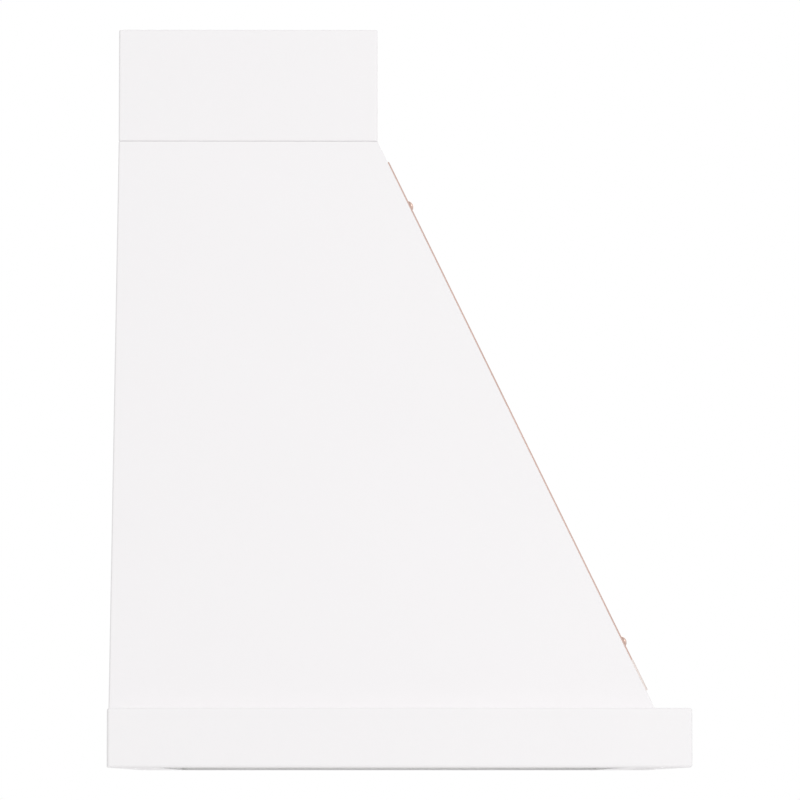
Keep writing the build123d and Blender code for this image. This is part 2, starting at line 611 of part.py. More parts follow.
def filter_hook():
    """Hook folded over the rod from the frame's rear wall, open below."""
    arch = Pos(ROD_Y, ROD_Z) * (Circle(HOOK_OUTSIDE) - Circle(HOOK_INSIDE))
    upper = outline(
        (ROD_Y - HOOK_OUTSIDE, ROD_Z),
        (ROD_Y + HOOK_OUTSIDE, ROD_Z),
        (ROD_Y + HOOK_OUTSIDE, ROD_Z + HOOK_OUTSIDE),
        (ROD_Y - HOOK_OUTSIDE, ROD_Z + HOOK_OUTSIDE),
    )
    hook = prism_x(arch & upper, mirrored(HOOK_WIDTH / 2))
    tail_span = (ROD_Z - HOOK_TAIL, ROD_Z)
    front = block(mirrored(HOOK_WIDTH / 2), (ROD_Y - HOOK_OUTSIDE, ROD_Y - HOOK_INSIDE), tail_span)
    rear = block(mirrored(HOOK_WIDTH / 2), (ROD_Y + HOOK_INSIDE, ROD_Y + HOOK_OUTSIDE), tail_span)
    return hook + [front, rear]


def filter_frame(x):
    """Frame of folded channel round one filter, with drain slots in its rear lip and two hooks behind."""
    half = FILTER_WIDTH / 2
    z_inside = (FILTER_LOW + FILTER_SHEET, FILTER_TOP - FILTER_SHEET)
    whole = block(mirrored(half), (FILTER_FRONT, FILTER_REAR), (FILTER_LOW, FILTER_TOP))
    inside = block(
        mirrored(half - FILTER_SHEET), (FILTER_FRONT + FILTER_SHEET, FILTER_REAR - FILTER_SHEET), z_inside
    )
    lower = block(
        mirrored(half - FILTER_LIP),
        (FILTER_FRONT + FILTER_LIP, FILTER_REAR - FILTER_LIP),
        (FILTER_LOW - CUT_PAST, FILTER_LOW + FILTER_SHEET + CUT_PAST),
    )
    upper = block(
        mirrored(half - FILTER_TOP_LIP),
        (FILTER_FRONT + FILTER_TOP_LIP, FILTER_REAR - FILTER_TOP_LIP),
        (FILTER_TOP - FILTER_SHEET - CUT_PAST, FILTER_TOP + CUT_PAST),
    )
    drain = extrude(SlotOverall(DRAIN_LENGTH, DRAIN_WIDTH), FILTER_SHEET + CUT_PAST)
    drain_y = FILTER_REAR - FILTER_LIP / 2
    drains = [Pos(place, drain_y, FILTER_LOW - CUT_PAST / 2) * drain for place in HOOD_PLACES]
    frame = whole - [inside, lower, upper, *drains]
    return Pos(x, 0, 0) * (frame + [Pos(side, 0, 0) * filter_hook() for side in mirrored(HOOK_SPACING / 2)])


def trough_face(half, low, high, fold):
    """Oblong with its two lower corners rounded."""
    face = outline((-half, low), (half, low), (half, high), (-half, high))
    return fillet(face.vertices().group_by(Axis.Y)[0], fold)


def baffle_channel():
    """Trough of folded sheet that runs the length of a filter, with the middle of its floor at x = z = 0."""
    half = BAFFLE_WIDTH / 2
    outer = trough_face(half, 0, BAFFLE_LEG, BAFFLE_FOLD)
    inner = trough_face(half - FILTER_SHEET, FILTER_SHEET, BAFFLE_LEG + CUT_PAST, BAFFLE_FOLD - FILTER_SHEET)
    return prism_y(outer - inner, (FILTER_FRONT + FILTER_SHEET, FILTER_REAR - FILTER_SHEET))


def filter_baffles(x):
    """Two interleaved rows of channels: troughs below, and hoods turned over the gaps between them."""
    trough = baffle_channel()
    hood = mirror(trough, Plane.XY)
    lower = [Pos(x + place, 0, FILTER_LOW + FILTER_SHEET) * trough for place in TROUGH_PLACES]
    return group(lower + [Pos(x + place, 0, FILTER_TOP - FILTER_SHEET) * hood for place in HOOD_PLACES])


def filter_handle(x):
    """Bow handle of bent rod under the frame's front lip."""
    y = FILTER_FRONT + FILTER_LIP / 2
    half = HANDLE_SPAN / 2 - HANDLE_RADIUS
    low = FILTER_LOW - HANDLE_DROP + HANDLE_RADIUS
    corners = [(x - half, y, FILTER_LOW), (x - half, y, low), (x + half, y, low), (x + half, y, FILTER_LOW)]
    section = Plane(corners[0], z_dir=(0, 0, -1)) * Circle(HANDLE_RADIUS)
    return sweep(section, FilletPolyline(*corners, radius=HANDLE_BEND))


# Lamps and controls

def lamp_housing(x):
    """Round finned lamp housing on the rim, with a pocket for its lens."""
    outer = LENS_RADIUS + LENS_FLANGE + SEAT_GAP + LAMP_WALL
    top = SHEET + LAMP_HEIGHT
    body = pin_z(outer, (SHEET, top), x, STRIP_Y)
    pocket = pin_z(outer - LAMP_WALL, (0, SHEET + LENS_THICKNESS), x, STRIP_Y)
    step = 2 * outer / LAMP_FINS
    slots = [
        block(
            (x + (index - (LAMP_FINS - 2) / 2) * step - LAMP_FIN_SLOT / 2,
             x + (index - (LAMP_FINS - 2) / 2) * step + LAMP_FIN_SLOT / 2),
            (STRIP_Y - outer, STRIP_Y + outer),
            (top - LAMP_FIN_DEPTH, top + CUT_PAST),
        )
        for index in range(LAMP_FINS - 1)
    ]
    return body - [pocket, *slots]


def lamp_lens(x):
    """Stepped lens: its face is flush with the rim and its flange rests on the rim inside."""
    face = pin_z(LENS_RADIUS, (0, SHEET), x, STRIP_Y)
    return face + pin_z(LENS_RADIUS + LENS_FLANGE, (SHEET, SHEET + LENS_THICKNESS), x, STRIP_Y)


def control_plate():
    """Plate over the window in the rim, with a hole for each button."""
    y_span = (STRIP_Y - PLATE_DEPTH / 2, STRIP_Y + PLATE_DEPTH / 2)
    plate = block(mirrored(PLATE_WIDTH / 2), y_span, (SHEET, PLATE_TOP))
    plate = fillet(plate.edges().filter_by(Axis.Z), PLATE_CORNER)
    return plate - [pin_z(BUTTON_HOLE, (0, PLATE_TOP + CUT_PAST), x, STRIP_Y) for x in BUTTON_PLACES]


def push_button(x):
    """Round button with a dished face, kept in the plate by its collar, with a stem towards its switch."""
    cap = pin_z(BUTTON_RADIUS, (BUTTON_SINK, PLATE_TOP), x, STRIP_Y)
    cap = fillet(cap.edges().group_by(Axis.Z)[0], BUTTON_ROUND)
    ball = cap_ball(BUTTON_DISH_RADIUS, BUTTON_DISH)
    cap -= Pos(x, STRIP_Y, BUTTON_SINK + BUTTON_DISH - ball) * Sphere(ball)
    collar = pin_z(BUTTON_RADIUS + BUTTON_COLLAR, (PLATE_TOP, COLLAR_TOP), x, STRIP_Y)
    return cap + [collar, pin_z(BUTTON_STEM_RADIUS, (COLLAR_TOP, STEM_TOP), x, STRIP_Y)]


def control_housing():
    """Moulded box over the buttons, open below, with ribs that the switch board lies against."""
    half_x, half_y = PLATE_WIDTH / 2, PLATE_DEPTH / 2
    top = PLATE_TOP + HOUSING_HEIGHT
    y_inside = (STRIP_Y - half_y + HOUSING_WALL, STRIP_Y + half_y - HOUSING_WALL)
    body = block(mirrored(half_x), (STRIP_Y - half_y, STRIP_Y + half_y), (PLATE_TOP, top))
    body = fillet(body.edges().filter_by(Axis.Z), PLATE_CORNER)
    body -= block(mirrored(half_x - HOUSING_WALL), y_inside, (0, top - HOUSING_WALL))
    rib_span = (BOARD_TOP, BOARD_TOP + HOUSING_RIB_HEIGHT)
    front = block(mirrored(half_x - HOUSING_WALL), (y_inside[0], y_inside[0] + HOUSING_RIB), rib_span)
    rear = block(mirrored(half_x - HOUSING_WALL), (y_inside[1] - HOUSING_RIB, y_inside[1]), rib_span)
    return body + [front, rear]


def switch_board():
    """Circuit board with one small switch over each button."""
    inset = HOUSING_WALL + SEAT_GAP
    half_x, half_y = PLATE_WIDTH / 2 - inset, PLATE_DEPTH / 2 - inset
    board = block(mirrored(half_x), (STRIP_Y - half_y, STRIP_Y + half_y), (BOARD_LOW, BOARD_TOP))
    side = SWITCH_SIDE / 2
    y_span = (STRIP_Y - side, STRIP_Y + side)
    return board + [block((x - side, x + side), y_span, (SWITCH_LOW, BOARD_LOW)) for x in BUTTON_PLACES]


# Deck, collar and damper

def blower_deck():
    """Plate under the canopy's top flange that carries the blower and the duct collar."""
    half = taper_half(DECK_TOP, SHEET) - DECK_CLEARANCE
    y_span = (taper_front(DECK_TOP, SHEET) + DECK_CLEARANCE, -SHEET - DECK_CLEARANCE)
    z_span = (DECK_LOW - CUT_PAST, DECK_TOP + CUT_PAST)
    plate = block(mirrored(half), y_span, (DECK_LOW, DECK_TOP))
    duct = pin_z(COLLAR_RADIUS + DECK_HOLE_GAP, z_span, 0, DUCT_Y)
    gland = pin_z(GLAND_THREAD + SCREW_HOLE_GAP, z_span, GLAND_X, GLAND_Y)
    return plate - [duct, gland, *holes_z([*CHIMNEY_SCREWS, *COLLAR_SCREWS], SCREW_HOLE, z_span)]


def duct_collar():
    """Spun collar that the duct slides over, with a foot flange and a stop ring for the damper."""
    top = DECK_TOP + COLLAR_HEIGHT
    body = pin_z(COLLAR_RADIUS, (DECK_TOP, top), 0, DUCT_Y)
    body += pin_z(COLLAR_FLANGE_RADIUS, (DECK_TOP, DECK_TOP + COLLAR_WALL), 0, DUCT_Y)
    body -= pin_z(COLLAR_INSIDE, (DECK_TOP - CUT_PAST, top + CUT_PAST), 0, DUCT_Y)
    stop = Circle(COLLAR_INSIDE) - Circle(COLLAR_INSIDE - STOP_RING)
    body += Pos(0, DUCT_Y, STOP_TOP - STOP_RING_HEIGHT) * extrude(stop, STOP_RING_HEIGHT)
    pin_holes = [
        pin_x(DAMPER_PIN_RADIUS + SCREW_HOLE_GAP, mirrored(COLLAR_FLANGE_RADIUS), DUCT_Y + side, DAMPER_Z)
        for side in mirrored(DAMPER_PIN_OFFSET)
    ]
    flange_span = (DECK_TOP - CUT_PAST, DECK_TOP + COLLAR_WALL + CUT_PAST)
    return body - [*pin_holes, *holes_z(COLLAR_SCREWS, SCREW_HOLE, flange_span)]


def damper_pins():
    """Two pins across the collar, flush with its outside."""
    reach = sqrt(COLLAR_RADIUS**2 - (DAMPER_PIN_OFFSET + DAMPER_PIN_RADIUS) ** 2)
    sides = mirrored(DAMPER_PIN_OFFSET)
    return group([pin_x(DAMPER_PIN_RADIUS, mirrored(reach), DUCT_Y + side, DAMPER_Z) for side in sides])


def damper_flap(side):
    """Half-round flap with a stiffening bead that swings up on its pin, on one side (-1 front, 1 rear)."""
    radius = COLLAR_INSIDE - DAMPER_RIM_GAP
    z_span = (DAMPER_Z - DAMPER_SHEET / 2, DAMPER_Z + DAMPER_SHEET / 2)
    pin_y_place = DUCT_Y + side * DAMPER_PIN_OFFSET
    y_span = sorted((pin_y_place, DUCT_Y + side * COLLAR_RADIUS))
    flap = pin_z(radius, z_span, 0, DUCT_Y) & block(mirrored(COLLAR_RADIUS), y_span, z_span)
    bead_y = DUCT_Y + side * COLLAR_RADIUS / 2
    bead = pin_x(DAMPER_BEAD, mirrored(DAMPER_BEAD_SPAN / 2), bead_y, z_span[1])
    flap += bead & block(mirrored(COLLAR_RADIUS), y_span, (z_span[1], z_span[1] + DAMPER_BEAD))
    flap += pin_x(DAMPER_KNUCKLE_RADIUS, mirrored(radius - DAMPER_KNUCKLE_END), pin_y_place, DAMPER_Z)
    return flap - pin_x(DAMPER_PIN_RADIUS + RUNNING_GAP, mirrored(COLLAR_RADIUS), pin_y_place, DAMPER_Z)


def transition_form(inset, z_span):
    """Solid that goes from the scroll's oblong outlet to the round collar."""
    width, depth = 2 * (SCROLL_HALF - inset), OUTLET_DEPTH - 2 * inset
    foot = Pos(0, DUCT_Y, z_span[0]) * Rectangle(width, depth)
    head = Pos(0, DUCT_Y, z_span[1]) * Circle(COLLAR_INSIDE + TRANSITION_WALL - inset)
    return loft([foot.face(), head.face()])


def outlet_transition():
    """Sheet transition from the blower outlet to the duct hole, flanged at both ends."""
    outer = transition_form(0, (SCROLL_TOP, DECK_LOW))
    inner = transition_form(TRANSITION_WALL, (SCROLL_TOP, DECK_LOW))
    top_span = (DECK_LOW - TRANSITION_WALL, DECK_LOW)
    foot_span = (SCROLL_TOP, SCROLL_TOP + TRANSITION_WALL)
    flange = pin_z(COLLAR_FLANGE_RADIUS, top_span, 0, DUCT_Y)
    foot = outlet_flange(foot_span)
    screw_holes = [
        *holes_z(COLLAR_SCREWS, SCREW_HOLE, (top_span[0] - CUT_PAST, top_span[1] + CUT_PAST)),
        *holes_z(OUTLET_SCREWS, SCREW_HOLE, (foot_span[0] - CUT_PAST, foot_span[1] + CUT_PAST)),
    ]
    return outer + [flange, foot] - [inner, *screw_holes]


def outlet_flange(z_span):
    """Flat oblong that reaches past the scroll's outlet on all sides."""
    reach_y = OUTLET_DEPTH / 2 + SCROLL_FLANGE
    return block(mirrored(SCROLL_HALF + SCROLL_FLANGE), (DUCT_Y - reach_y, DUCT_Y + reach_y), z_span)


# Blower

def volute_face(inset, top):
    """Scroll outline: three quarter arcs that each grow by one step, then straight up to the outlet."""
    low_y, high_y = WHEEL_Y - VOLUTE_STEP / 2, WHEEL_Y + VOLUTE_STEP / 2
    low_z, high_z = WHEEL_Z - VOLUTE_STEP / 2, WHEEL_Z + VOLUTE_STEP / 2
    first = VOLUTE_START - inset
    second, third = first + VOLUTE_STEP, first + 2 * VOLUTE_STEP
    tongue_z = low_z + first
    arcs = [
        CenterArc((low_y, low_z), first, 90, 90),
        CenterArc((high_y, low_z), second, 180, 90),
        CenterArc((high_y, high_z), third, 270, 90),
    ]
    rear_y, front_y = high_y + third, low_y + inset
    neck = Polyline((rear_y, high_z), (rear_y, top), (front_y, top), (front_y, tongue_z))
    tongue = [Line((front_y, tongue_z), (low_y, tongue_z))] if inset else []
    return make_face([*arcs, *neck.edges(), *tongue])


def blower_scroll():
    """Volute housing: cheeks seamed proud of the wrap, with an inlet hole each, and a flanged outlet."""
    body = prism_x(volute_face(0, SCROLL_TOP), mirrored(SCROLL_HALF))
    cheek = offset(volute_face(0, SCROLL_TOP - SCROLL_SHEET - SCROLL_SEAM), SCROLL_SEAM)
    body += prism_x(cheek, (SCROLL_HALF - SCROLL_SHEET, SCROLL_HALF))
    body += prism_x(cheek, (-SCROLL_HALF, SCROLL_SHEET - SCROLL_HALF))
    body += outlet_flange((SCROLL_TOP - SCROLL_SHEET, SCROLL_TOP))
    hollow = prism_x(volute_face(SCROLL_SHEET, SCROLL_TOP + CUT_PAST), mirrored(SCROLL_HALF - SCROLL_SHEET))
    inlets = pin_x(INLET_RADIUS, mirrored(SCROLL_HALF + CUT_PAST), WHEEL_Y, WHEEL_Z)
    flange_span = (SCROLL_TOP - SCROLL_SHEET - CUT_PAST, SCROLL_TOP + CUT_PAST)
    cheek_span = (-SCROLL_HALF - CUT_PAST, -SCROLL_HALF + SCROLL_SHEET + CUT_PAST)
    spider_holes = [pin_x(SCREW_HOLE, cheek_span, y, z) for y, z in SPIDER_SCREWS]
    return body - [hollow, inlets, *holes_z(OUTLET_SCREWS, SCREW_HOLE, flange_span), *spider_holes]


def inlet_ring(side):
    """Rolled bell mouth on one cheek of the scroll, drawn as a ring round the wheel's axis."""
    bead = Pos(INLET_RADIUS + INLET_LIP / 2, 0) * Circle(INLET_LIP / 2)
    upper = Pos(INLET_RADIUS + INLET_LIP / 2, INLET_LIP / 4) * Rectangle(INLET_LIP, INLET_LIP / 2)
    hollow = Pos(INLET_RADIUS + INLET_LIP / 2, 0) * Circle(INLET_LIP / 2 - SCROLL_SHEET)
    ring = revolve(Plane.XZ * ((bead - hollow) & upper), Axis.Z)
    return Pos(side * SCROLL_HALF, WHEEL_Y, WHEEL_Z) * Rot(0, side * 90, 0) * ring


def blade_face():
    """Section of one forward-curved blade, between two like arcs a sheet apart."""
    def arc(shift):
        lag = shift / WHEEL_RADIUS
        middle = (BLADE_INSIDE + WHEEL_RADIUS) / 2
        lead = BLADE_LEAD / WHEEL_RADIUS + lag
        bow = (BLADE_LEAD / 2 - BLADE_CAMBER) / WHEEL_RADIUS + lag
        start = (BLADE_INSIDE * cos(lag), BLADE_INSIDE * sin(lag))
        end = (WHEEL_RADIUS * cos(lead), WHEEL_RADIUS * sin(lead))
        return start, (middle * cos(bow), middle * sin(bow)), end

    near, far = arc(-BLADE_SHEET / 2), arc(BLADE_SHEET / 2)
    sides = [ThreePointArc(*near), ThreePointArc(*far)]
    return make_face([*sides, Line(near[0], far[0]), Line(near[2], far[2])])


def impeller():
    """Squirrel-cage wheel: blades between two end rings, carried by a middle disc on a hub."""
    half = WHEEL_WIDTH / 2
    blade = prism_x(blade_face(), mirrored(half))
    blades = [Rot(360 / BLADES * index, 0, 0) * blade for index in range(BLADES)]
    disc = pin_x(WHEEL_RADIUS - BLADE_DEPTH / 2, mirrored(HUB_SHEET / 2), 0, 0)
    hub = pin_x(HUB_RADIUS, mirrored(HUB_LENGTH / 2), 0, 0)
    ring = Circle(WHEEL_RADIUS) - Circle(BLADE_INSIDE)
    ring_spans = ((half - WHEEL_RING_HEIGHT, half), (-half, WHEEL_RING_HEIGHT - half))
    rings = [prism_x(ring, span) for span in ring_spans]
    bore = pin_x(SHAFT_RADIUS + SCREW_HOLE_GAP, mirrored(HUB_LENGTH), 0, 0)
    return Pos(0, WHEEL_Y, WHEEL_Z) * (disc + [hub, *rings, *blades] - bore)


def motor_shaft():
    """Shaft from the motor's outer bearing through the wheel's hub."""
    span = (MOTOR_LEFT - MOTOR_BOSS - SHAFT_TAIL, HUB_LENGTH / 2 + SHAFT_TAIL)
    return pin_x(SHAFT_RADIUS, span, WHEEL_Y, WHEEL_Z)


def motor_body():
    """Motor: two vented end bells crimped to the stator can, with a bearing boss at each end."""
    can = pin_x(MOTOR_RADIUS, (MOTOR_LEFT, MOTOR_RIGHT), WHEEL_Y, WHEEL_Z)
    can = fillet(can.edges().filter_by(GeomType.CIRCLE), MOTOR_END)
    for low in (MOTOR_LEFT + MOTOR_BELL, MOTOR_RIGHT - MOTOR_BELL - MOTOR_GROOVE):
        ring = Circle(MOTOR_RADIUS + CUT_PAST) - Circle(MOTOR_RADIUS - MOTOR_GROOVE)
        can -= Pos(0, WHEEL_Y, WHEEL_Z) * prism_x(ring, (low, low + MOTOR_GROOVE))
    vent = Pos((MOTOR_BOSS_RADIUS + MOTOR_RADIUS) / 2, 0) * SlotOverall(MOTOR_VENT_LENGTH, MOTOR_VENT_WIDTH)
    for end in (MOTOR_LEFT, MOTOR_RIGHT):
        cutter = Pos(0, WHEEL_Y, WHEEL_Z) * prism_x(vent, (end - MOTOR_VENT_DEPTH, end + MOTOR_VENT_DEPTH))
        axle = Axis((0, WHEEL_Y, WHEEL_Z), (1, 0, 0))
        can -= [cutter.rotate(axle, 360 / MOTOR_VENTS * index) for index in range(MOTOR_VENTS)]
    boss = pin_x(MOTOR_BOSS_RADIUS, (MOTOR_LEFT - MOTOR_BOSS, MOTOR_RIGHT + MOTOR_BOSS), WHEEL_Y, WHEEL_Z)
    bore_span = (MOTOR_LEFT - 2 * MOTOR_BOSS, MOTOR_RIGHT + 2 * MOTOR_BOSS)
    return can + boss - pin_x(SHAFT_RADIUS + RUNNING_GAP, bore_span, WHEEL_Y, WHEEL_Z)


def motor_spider():
    """Clamp band round the motor with arms to feet on the scroll's left cheek."""
    band_span = (SPIDER_OUT, SPIDER_OUT + SPIDER_WIDTH)
    band_radius = MOTOR_RADIUS + SCREW_HOLE_GAP + SPIDER_BAND
    bore = prism_x(Circle(MOTOR_RADIUS + SCREW_HOLE_GAP), (SPIDER_OUT - CUT_PAST, CUT_PAST - SCROLL_HALF))
    half = SPIDER_WIDTH / 2
    arm = block((SPIDER_OUT, SPIDER_OUT + SPIDER_ARM), (MOTOR_RADIUS, SPIDER_REACH), mirrored(half))
    foot = block((SPIDER_OUT, -SCROLL_HALF), (SPIDER_REACH - SPIDER_FOOT, SPIDER_REACH), mirrored(half))
    screw_hole = pin_x(SCREW_HOLE, (SPIDER_OUT - CUT_PAST, CUT_PAST - SCROLL_HALF), SPIDER_SCREW_CIRCLE, 0)
    limb = arm + foot - screw_hole
    limbs = [Rot(turn * 180 / pi, 0, 0) * limb for turn in SPIDER_TURNS]
    return Pos(0, WHEEL_Y, WHEEL_Z) * (prism_x(Circle(band_radius), band_span) + limbs - bore)


# Electrical pieces on the back panel and the deck

def electrical_box():
    """Folded steel box on the back panel, open at the front, with two knockouts in its floor."""
    x_span = (BOX_LEFT, BOX_LEFT + BOX_WIDTH)
    z_span = (BOX_TOP - BOX_HEIGHT, BOX_TOP)
    inside = [(low + BOX_WALL, high - BOX_WALL) for low, high in (x_span, z_span)]
    hollow = block(inside[0], (BOX_FACE - CUT_PAST, PANEL_FACE - BOX_WALL), inside[1])
    body = block(x_span, (BOX_FACE, PANEL_FACE), z_span) - hollow
    ring = Circle(KNOCKOUT_RADIUS) - Circle(KNOCKOUT_RADIUS - KNOCKOUT_GROOVE)
    groove = extrude(ring, KNOCKOUT_GROOVE)
    middle_y = (BOX_FACE + PANEL_FACE) / 2
    places = [BOX_LEFT + BOX_WIDTH * share for share in (0.3, 0.7)]
    return body - [Pos(place, middle_y, z_span[0]) * groove for place in places]


def electrical_box_lid():
    """Flat lid on the electrical box, with a rim that locates inside it."""
    inset = BOX_WALL + SEAT_GAP
    x_span = (BOX_LEFT + inset, BOX_LEFT + BOX_WIDTH - inset)
    z_span = (BOX_TOP - BOX_HEIGHT + inset, BOX_TOP - inset)
    lid_z = (BOX_TOP - BOX_HEIGHT, BOX_TOP)
    lid = block((BOX_LEFT, BOX_LEFT + BOX_WIDTH), (BOX_FACE - BOX_LID, BOX_FACE), lid_z)
    rim = block(x_span, (BOX_FACE, BOX_FACE + 3 * BOX_LID), z_span)
    inside = [(low + BOX_LID, high - BOX_LID) for low, high in (x_span, z_span)]
    return lid + (rim - block(inside[0], (BOX_FACE, BOX_FACE + 4 * BOX_LID), inside[1]))


def capacitor():
    """Run capacitor: a can beside the back panel with two spade terminals on top."""
    can = pin_z(CAPACITOR_RADIUS, (BOX_TOP - CAPACITOR_LENGTH, BOX_TOP), CAPACITOR_X, CAPACITOR_Y)
    can = fillet(can.edges().filter_by(GeomType.CIRCLE), CAPACITOR_STANDOFF)
    half = CAPACITOR_TAB_WIDTH / 2
    y_span = (CAPACITOR_Y - half, CAPACITOR_Y + half)
    z_span = (BOX_TOP, BOX_TOP + CAPACITOR_TAB_HEIGHT)
    places = [CAPACITOR_X + side for side in mirrored(CAPACITOR_RADIUS / 2)]
    return can + [block((x, x + CAPACITOR_TAB), y_span, z_span) for x in places]


def capacitor_clip():
    """Band round the capacitor with a foot on the back panel."""
    middle = BOX_TOP - CAPACITOR_LENGTH / 2
    z_span = (middle - CLIP_HEIGHT / 2, middle + CLIP_HEIGHT / 2)
    inside = CAPACITOR_RADIUS + SCREW_HOLE_GAP
    band = pin_z(inside + CLIP_WALL, z_span, CAPACITOR_X, CAPACITOR_Y)
    half = CAPACITOR_RADIUS / 2
    foot = block((CAPACITOR_X - half, CAPACITOR_X + half), (CAPACITOR_Y, PANEL_FACE), z_span)
    return band + foot - pin_z(inside, z_span, CAPACITOR_X, CAPACITOR_Y)


def cable_gland():
    """Gland through the deck for the supply cable: hexagon and domed cap above, lock nut below."""
    place = Pos(GLAND_X, GLAND_Y, 0)
    hexagon = extrude(RegularPolygon(GLAND_NUT, 6), GLAND_NUT_HEIGHT)
    hexagons = [place * Pos(0, 0, low) * hexagon for low in (DECK_TOP, DECK_LOW - GLAND_NUT_HEIGHT)]
    cap = pin_z(GLAND_CAP_RADIUS, (DECK_TOP, DECK_TOP + GLAND_HEIGHT), GLAND_X, GLAND_Y)
    cap = fillet(cap.edges().group_by(Axis.Z)[-1], GLAND_CAP_ROUND)
    thread = pin_z(GLAND_THREAD, (DECK_LOW - GLAND_NUT_HEIGHT, DECK_TOP), GLAND_X, GLAND_Y)
    bore_span = (DECK_LOW - 2 * GLAND_NUT_HEIGHT, DECK_TOP + 2 * GLAND_HEIGHT)
    return cap + [thread, *hexagons] - pin_z(GLAND_BORE, bore_span, GLAND_X, GLAND_Y)


# Fasteners

def screws_down(places, top, grip):
    """Screws driven downwards, with their heads on a level."""
    return group([Pos(x, y, top) * pan_screw(grip) for x, y in places])


def screws_up(places, low, grip):
    """Screws driven upwards, with their heads under a level."""
    return group([Pos(x, y, low) * Rot(180, 0, 0) * pan_screw(grip) for x, y in places])


def back_panel_screws():
    """Screws from inside through the back panel into the canopy's rear flanges."""
    grip = SHEET + PANEL_SHEET - SEAT_GAP
    return group([Pos(x, PANEL_FACE, z) * Rot(90, 0, 0) * pan_screw(grip) for x, z in PANEL_SCREWS])


def spider_screws():
    """Screws through the spider's feet into the scroll's left cheek."""
    grip = SPIDER_STANDOFF + SCROLL_SHEET + SCREW_TIP
    return group([Pos(SPIDER_OUT, y, z) * Rot(0, -90, 0) * pan_screw(grip) for y, z in SPIDER_SCREWS])


PIECES = {
    "apron_band": apron_band(),
    "canopy_shell": canopy_shell(),
    "back_panel": back_panel(),
    "chimney_cover": chimney_cover(),
    "left_strap": strap(-1),
    "right_strap": strap(1),
    "lower_band": lower_band(),
    "strap_rivets": strap_rivets(),
    "filter_liner": filter_liner(),
    "filter_crossbars": filter_crossbars(),
    "filter_rod": filter_rod(),
    "filter_catches": filter_catches(),
    "left_lamp_housing": lamp_housing(LAMP_PLACES[0]),
    "right_lamp_housing": lamp_housing(LAMP_PLACES[1]),
    "left_lamp_lens": lamp_lens(LAMP_PLACES[0]),
    "right_lamp_lens": lamp_lens(LAMP_PLACES[1]),
    "control_plate": control_plate(),
    "control_housing": control_housing(),
    "switch_board": switch_board(),
    "blower_deck": blower_deck(),
    "duct_collar": duct_collar(),
    "damper_pins": damper_pins(),
    "front_damper_flap": damper_flap(-1),
    "rear_damper_flap": damper_flap(1),
    "outlet_transition": outlet_transition(),
    "blower_scroll": blower_scroll(),
    "left_inlet_ring": inlet_ring(-1),
    "right_inlet_ring": inlet_ring(1),
    "impeller": impeller(),
    "motor_shaft": motor_shaft(),
    "motor_body": motor_body(),
    "motor_spider": motor_spider(),
    "electrical_box": electrical_box(),
    "electrical_box_lid": electrical_box_lid(),
    "capacitor": capacitor(),
    "capacitor_clip": capacitor_clip(),
    "cable_gland": cable_gland(),
    "chimney_screws": screws_down(CHIMNEY_SCREWS, CANOPY_HIGH + SHEET, 2 * SHEET + DECK_SHEET + SCREW_TIP),
    "canopy_screws": screws_up(CANOPY_SCREWS, APRON_HEIGHT - SHEET, 2 * SHEET + SCREW_TIP),
    "back_panel_screws": back_panel_screws(),
    "collar_screws": screws_down(
        COLLAR_SCREWS, DECK_TOP + COLLAR_WALL, COLLAR_WALL + DECK_SHEET + TRANSITION_WALL + SCREW_TIP
    ),
    "blower_screws": screws_down(
        OUTLET_SCREWS, SCROLL_TOP + TRANSITION_WALL, TRANSITION_WALL + SCROLL_SHEET + SCREW_TIP
    ),
    "spider_screws": spider_screws(),
}
for name, place in zip(FILTER_NAMES, FILTER_PLACES):
    PIECES[f"{name}_filter_frame"] = filter_frame(place)
    PIECES[f"{name}_filter_baffles"] = filter_baffles(place)
    PIECES[f"{name}_filter_handle"] = filter_handle(place)
for name, place in zip(BUTTON_NAMES, BUTTON_PLACES):
    PIECES[f"{name}_button"] = push_button(place)

os.makedirs("parts", exist_ok=True)
for name, piece in PIECES.items():
    export_step(piece, f"parts/{name}.step")
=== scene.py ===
"""Looks of a wall range hood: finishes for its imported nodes, fine screws, a white studio and the camera."""

import logging
import math
from abc import ABC, abstractmethod
from dataclasses import dataclass
from enum import Enum

import bmesh
import bpy
import numpy as np
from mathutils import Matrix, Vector


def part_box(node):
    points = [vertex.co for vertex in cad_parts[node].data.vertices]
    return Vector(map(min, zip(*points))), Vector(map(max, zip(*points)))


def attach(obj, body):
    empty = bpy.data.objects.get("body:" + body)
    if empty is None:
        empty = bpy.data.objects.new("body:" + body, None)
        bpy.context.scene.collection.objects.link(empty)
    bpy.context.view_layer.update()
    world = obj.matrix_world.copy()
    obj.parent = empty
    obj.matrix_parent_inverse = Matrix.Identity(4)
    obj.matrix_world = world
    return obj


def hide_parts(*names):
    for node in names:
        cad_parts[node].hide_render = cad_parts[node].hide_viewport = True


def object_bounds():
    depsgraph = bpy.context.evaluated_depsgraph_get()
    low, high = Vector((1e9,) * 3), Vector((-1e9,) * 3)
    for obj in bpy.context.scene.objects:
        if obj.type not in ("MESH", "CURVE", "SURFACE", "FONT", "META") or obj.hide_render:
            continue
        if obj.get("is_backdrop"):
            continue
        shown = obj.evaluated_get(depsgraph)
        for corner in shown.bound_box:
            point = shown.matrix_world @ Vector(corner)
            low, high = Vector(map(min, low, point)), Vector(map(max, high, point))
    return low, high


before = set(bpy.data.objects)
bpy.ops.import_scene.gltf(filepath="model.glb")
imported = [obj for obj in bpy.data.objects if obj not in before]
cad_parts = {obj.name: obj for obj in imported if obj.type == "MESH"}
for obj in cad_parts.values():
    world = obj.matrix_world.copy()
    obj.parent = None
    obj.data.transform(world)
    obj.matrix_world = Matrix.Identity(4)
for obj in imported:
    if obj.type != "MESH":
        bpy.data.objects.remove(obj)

log = logging.getLogger("range_hood")

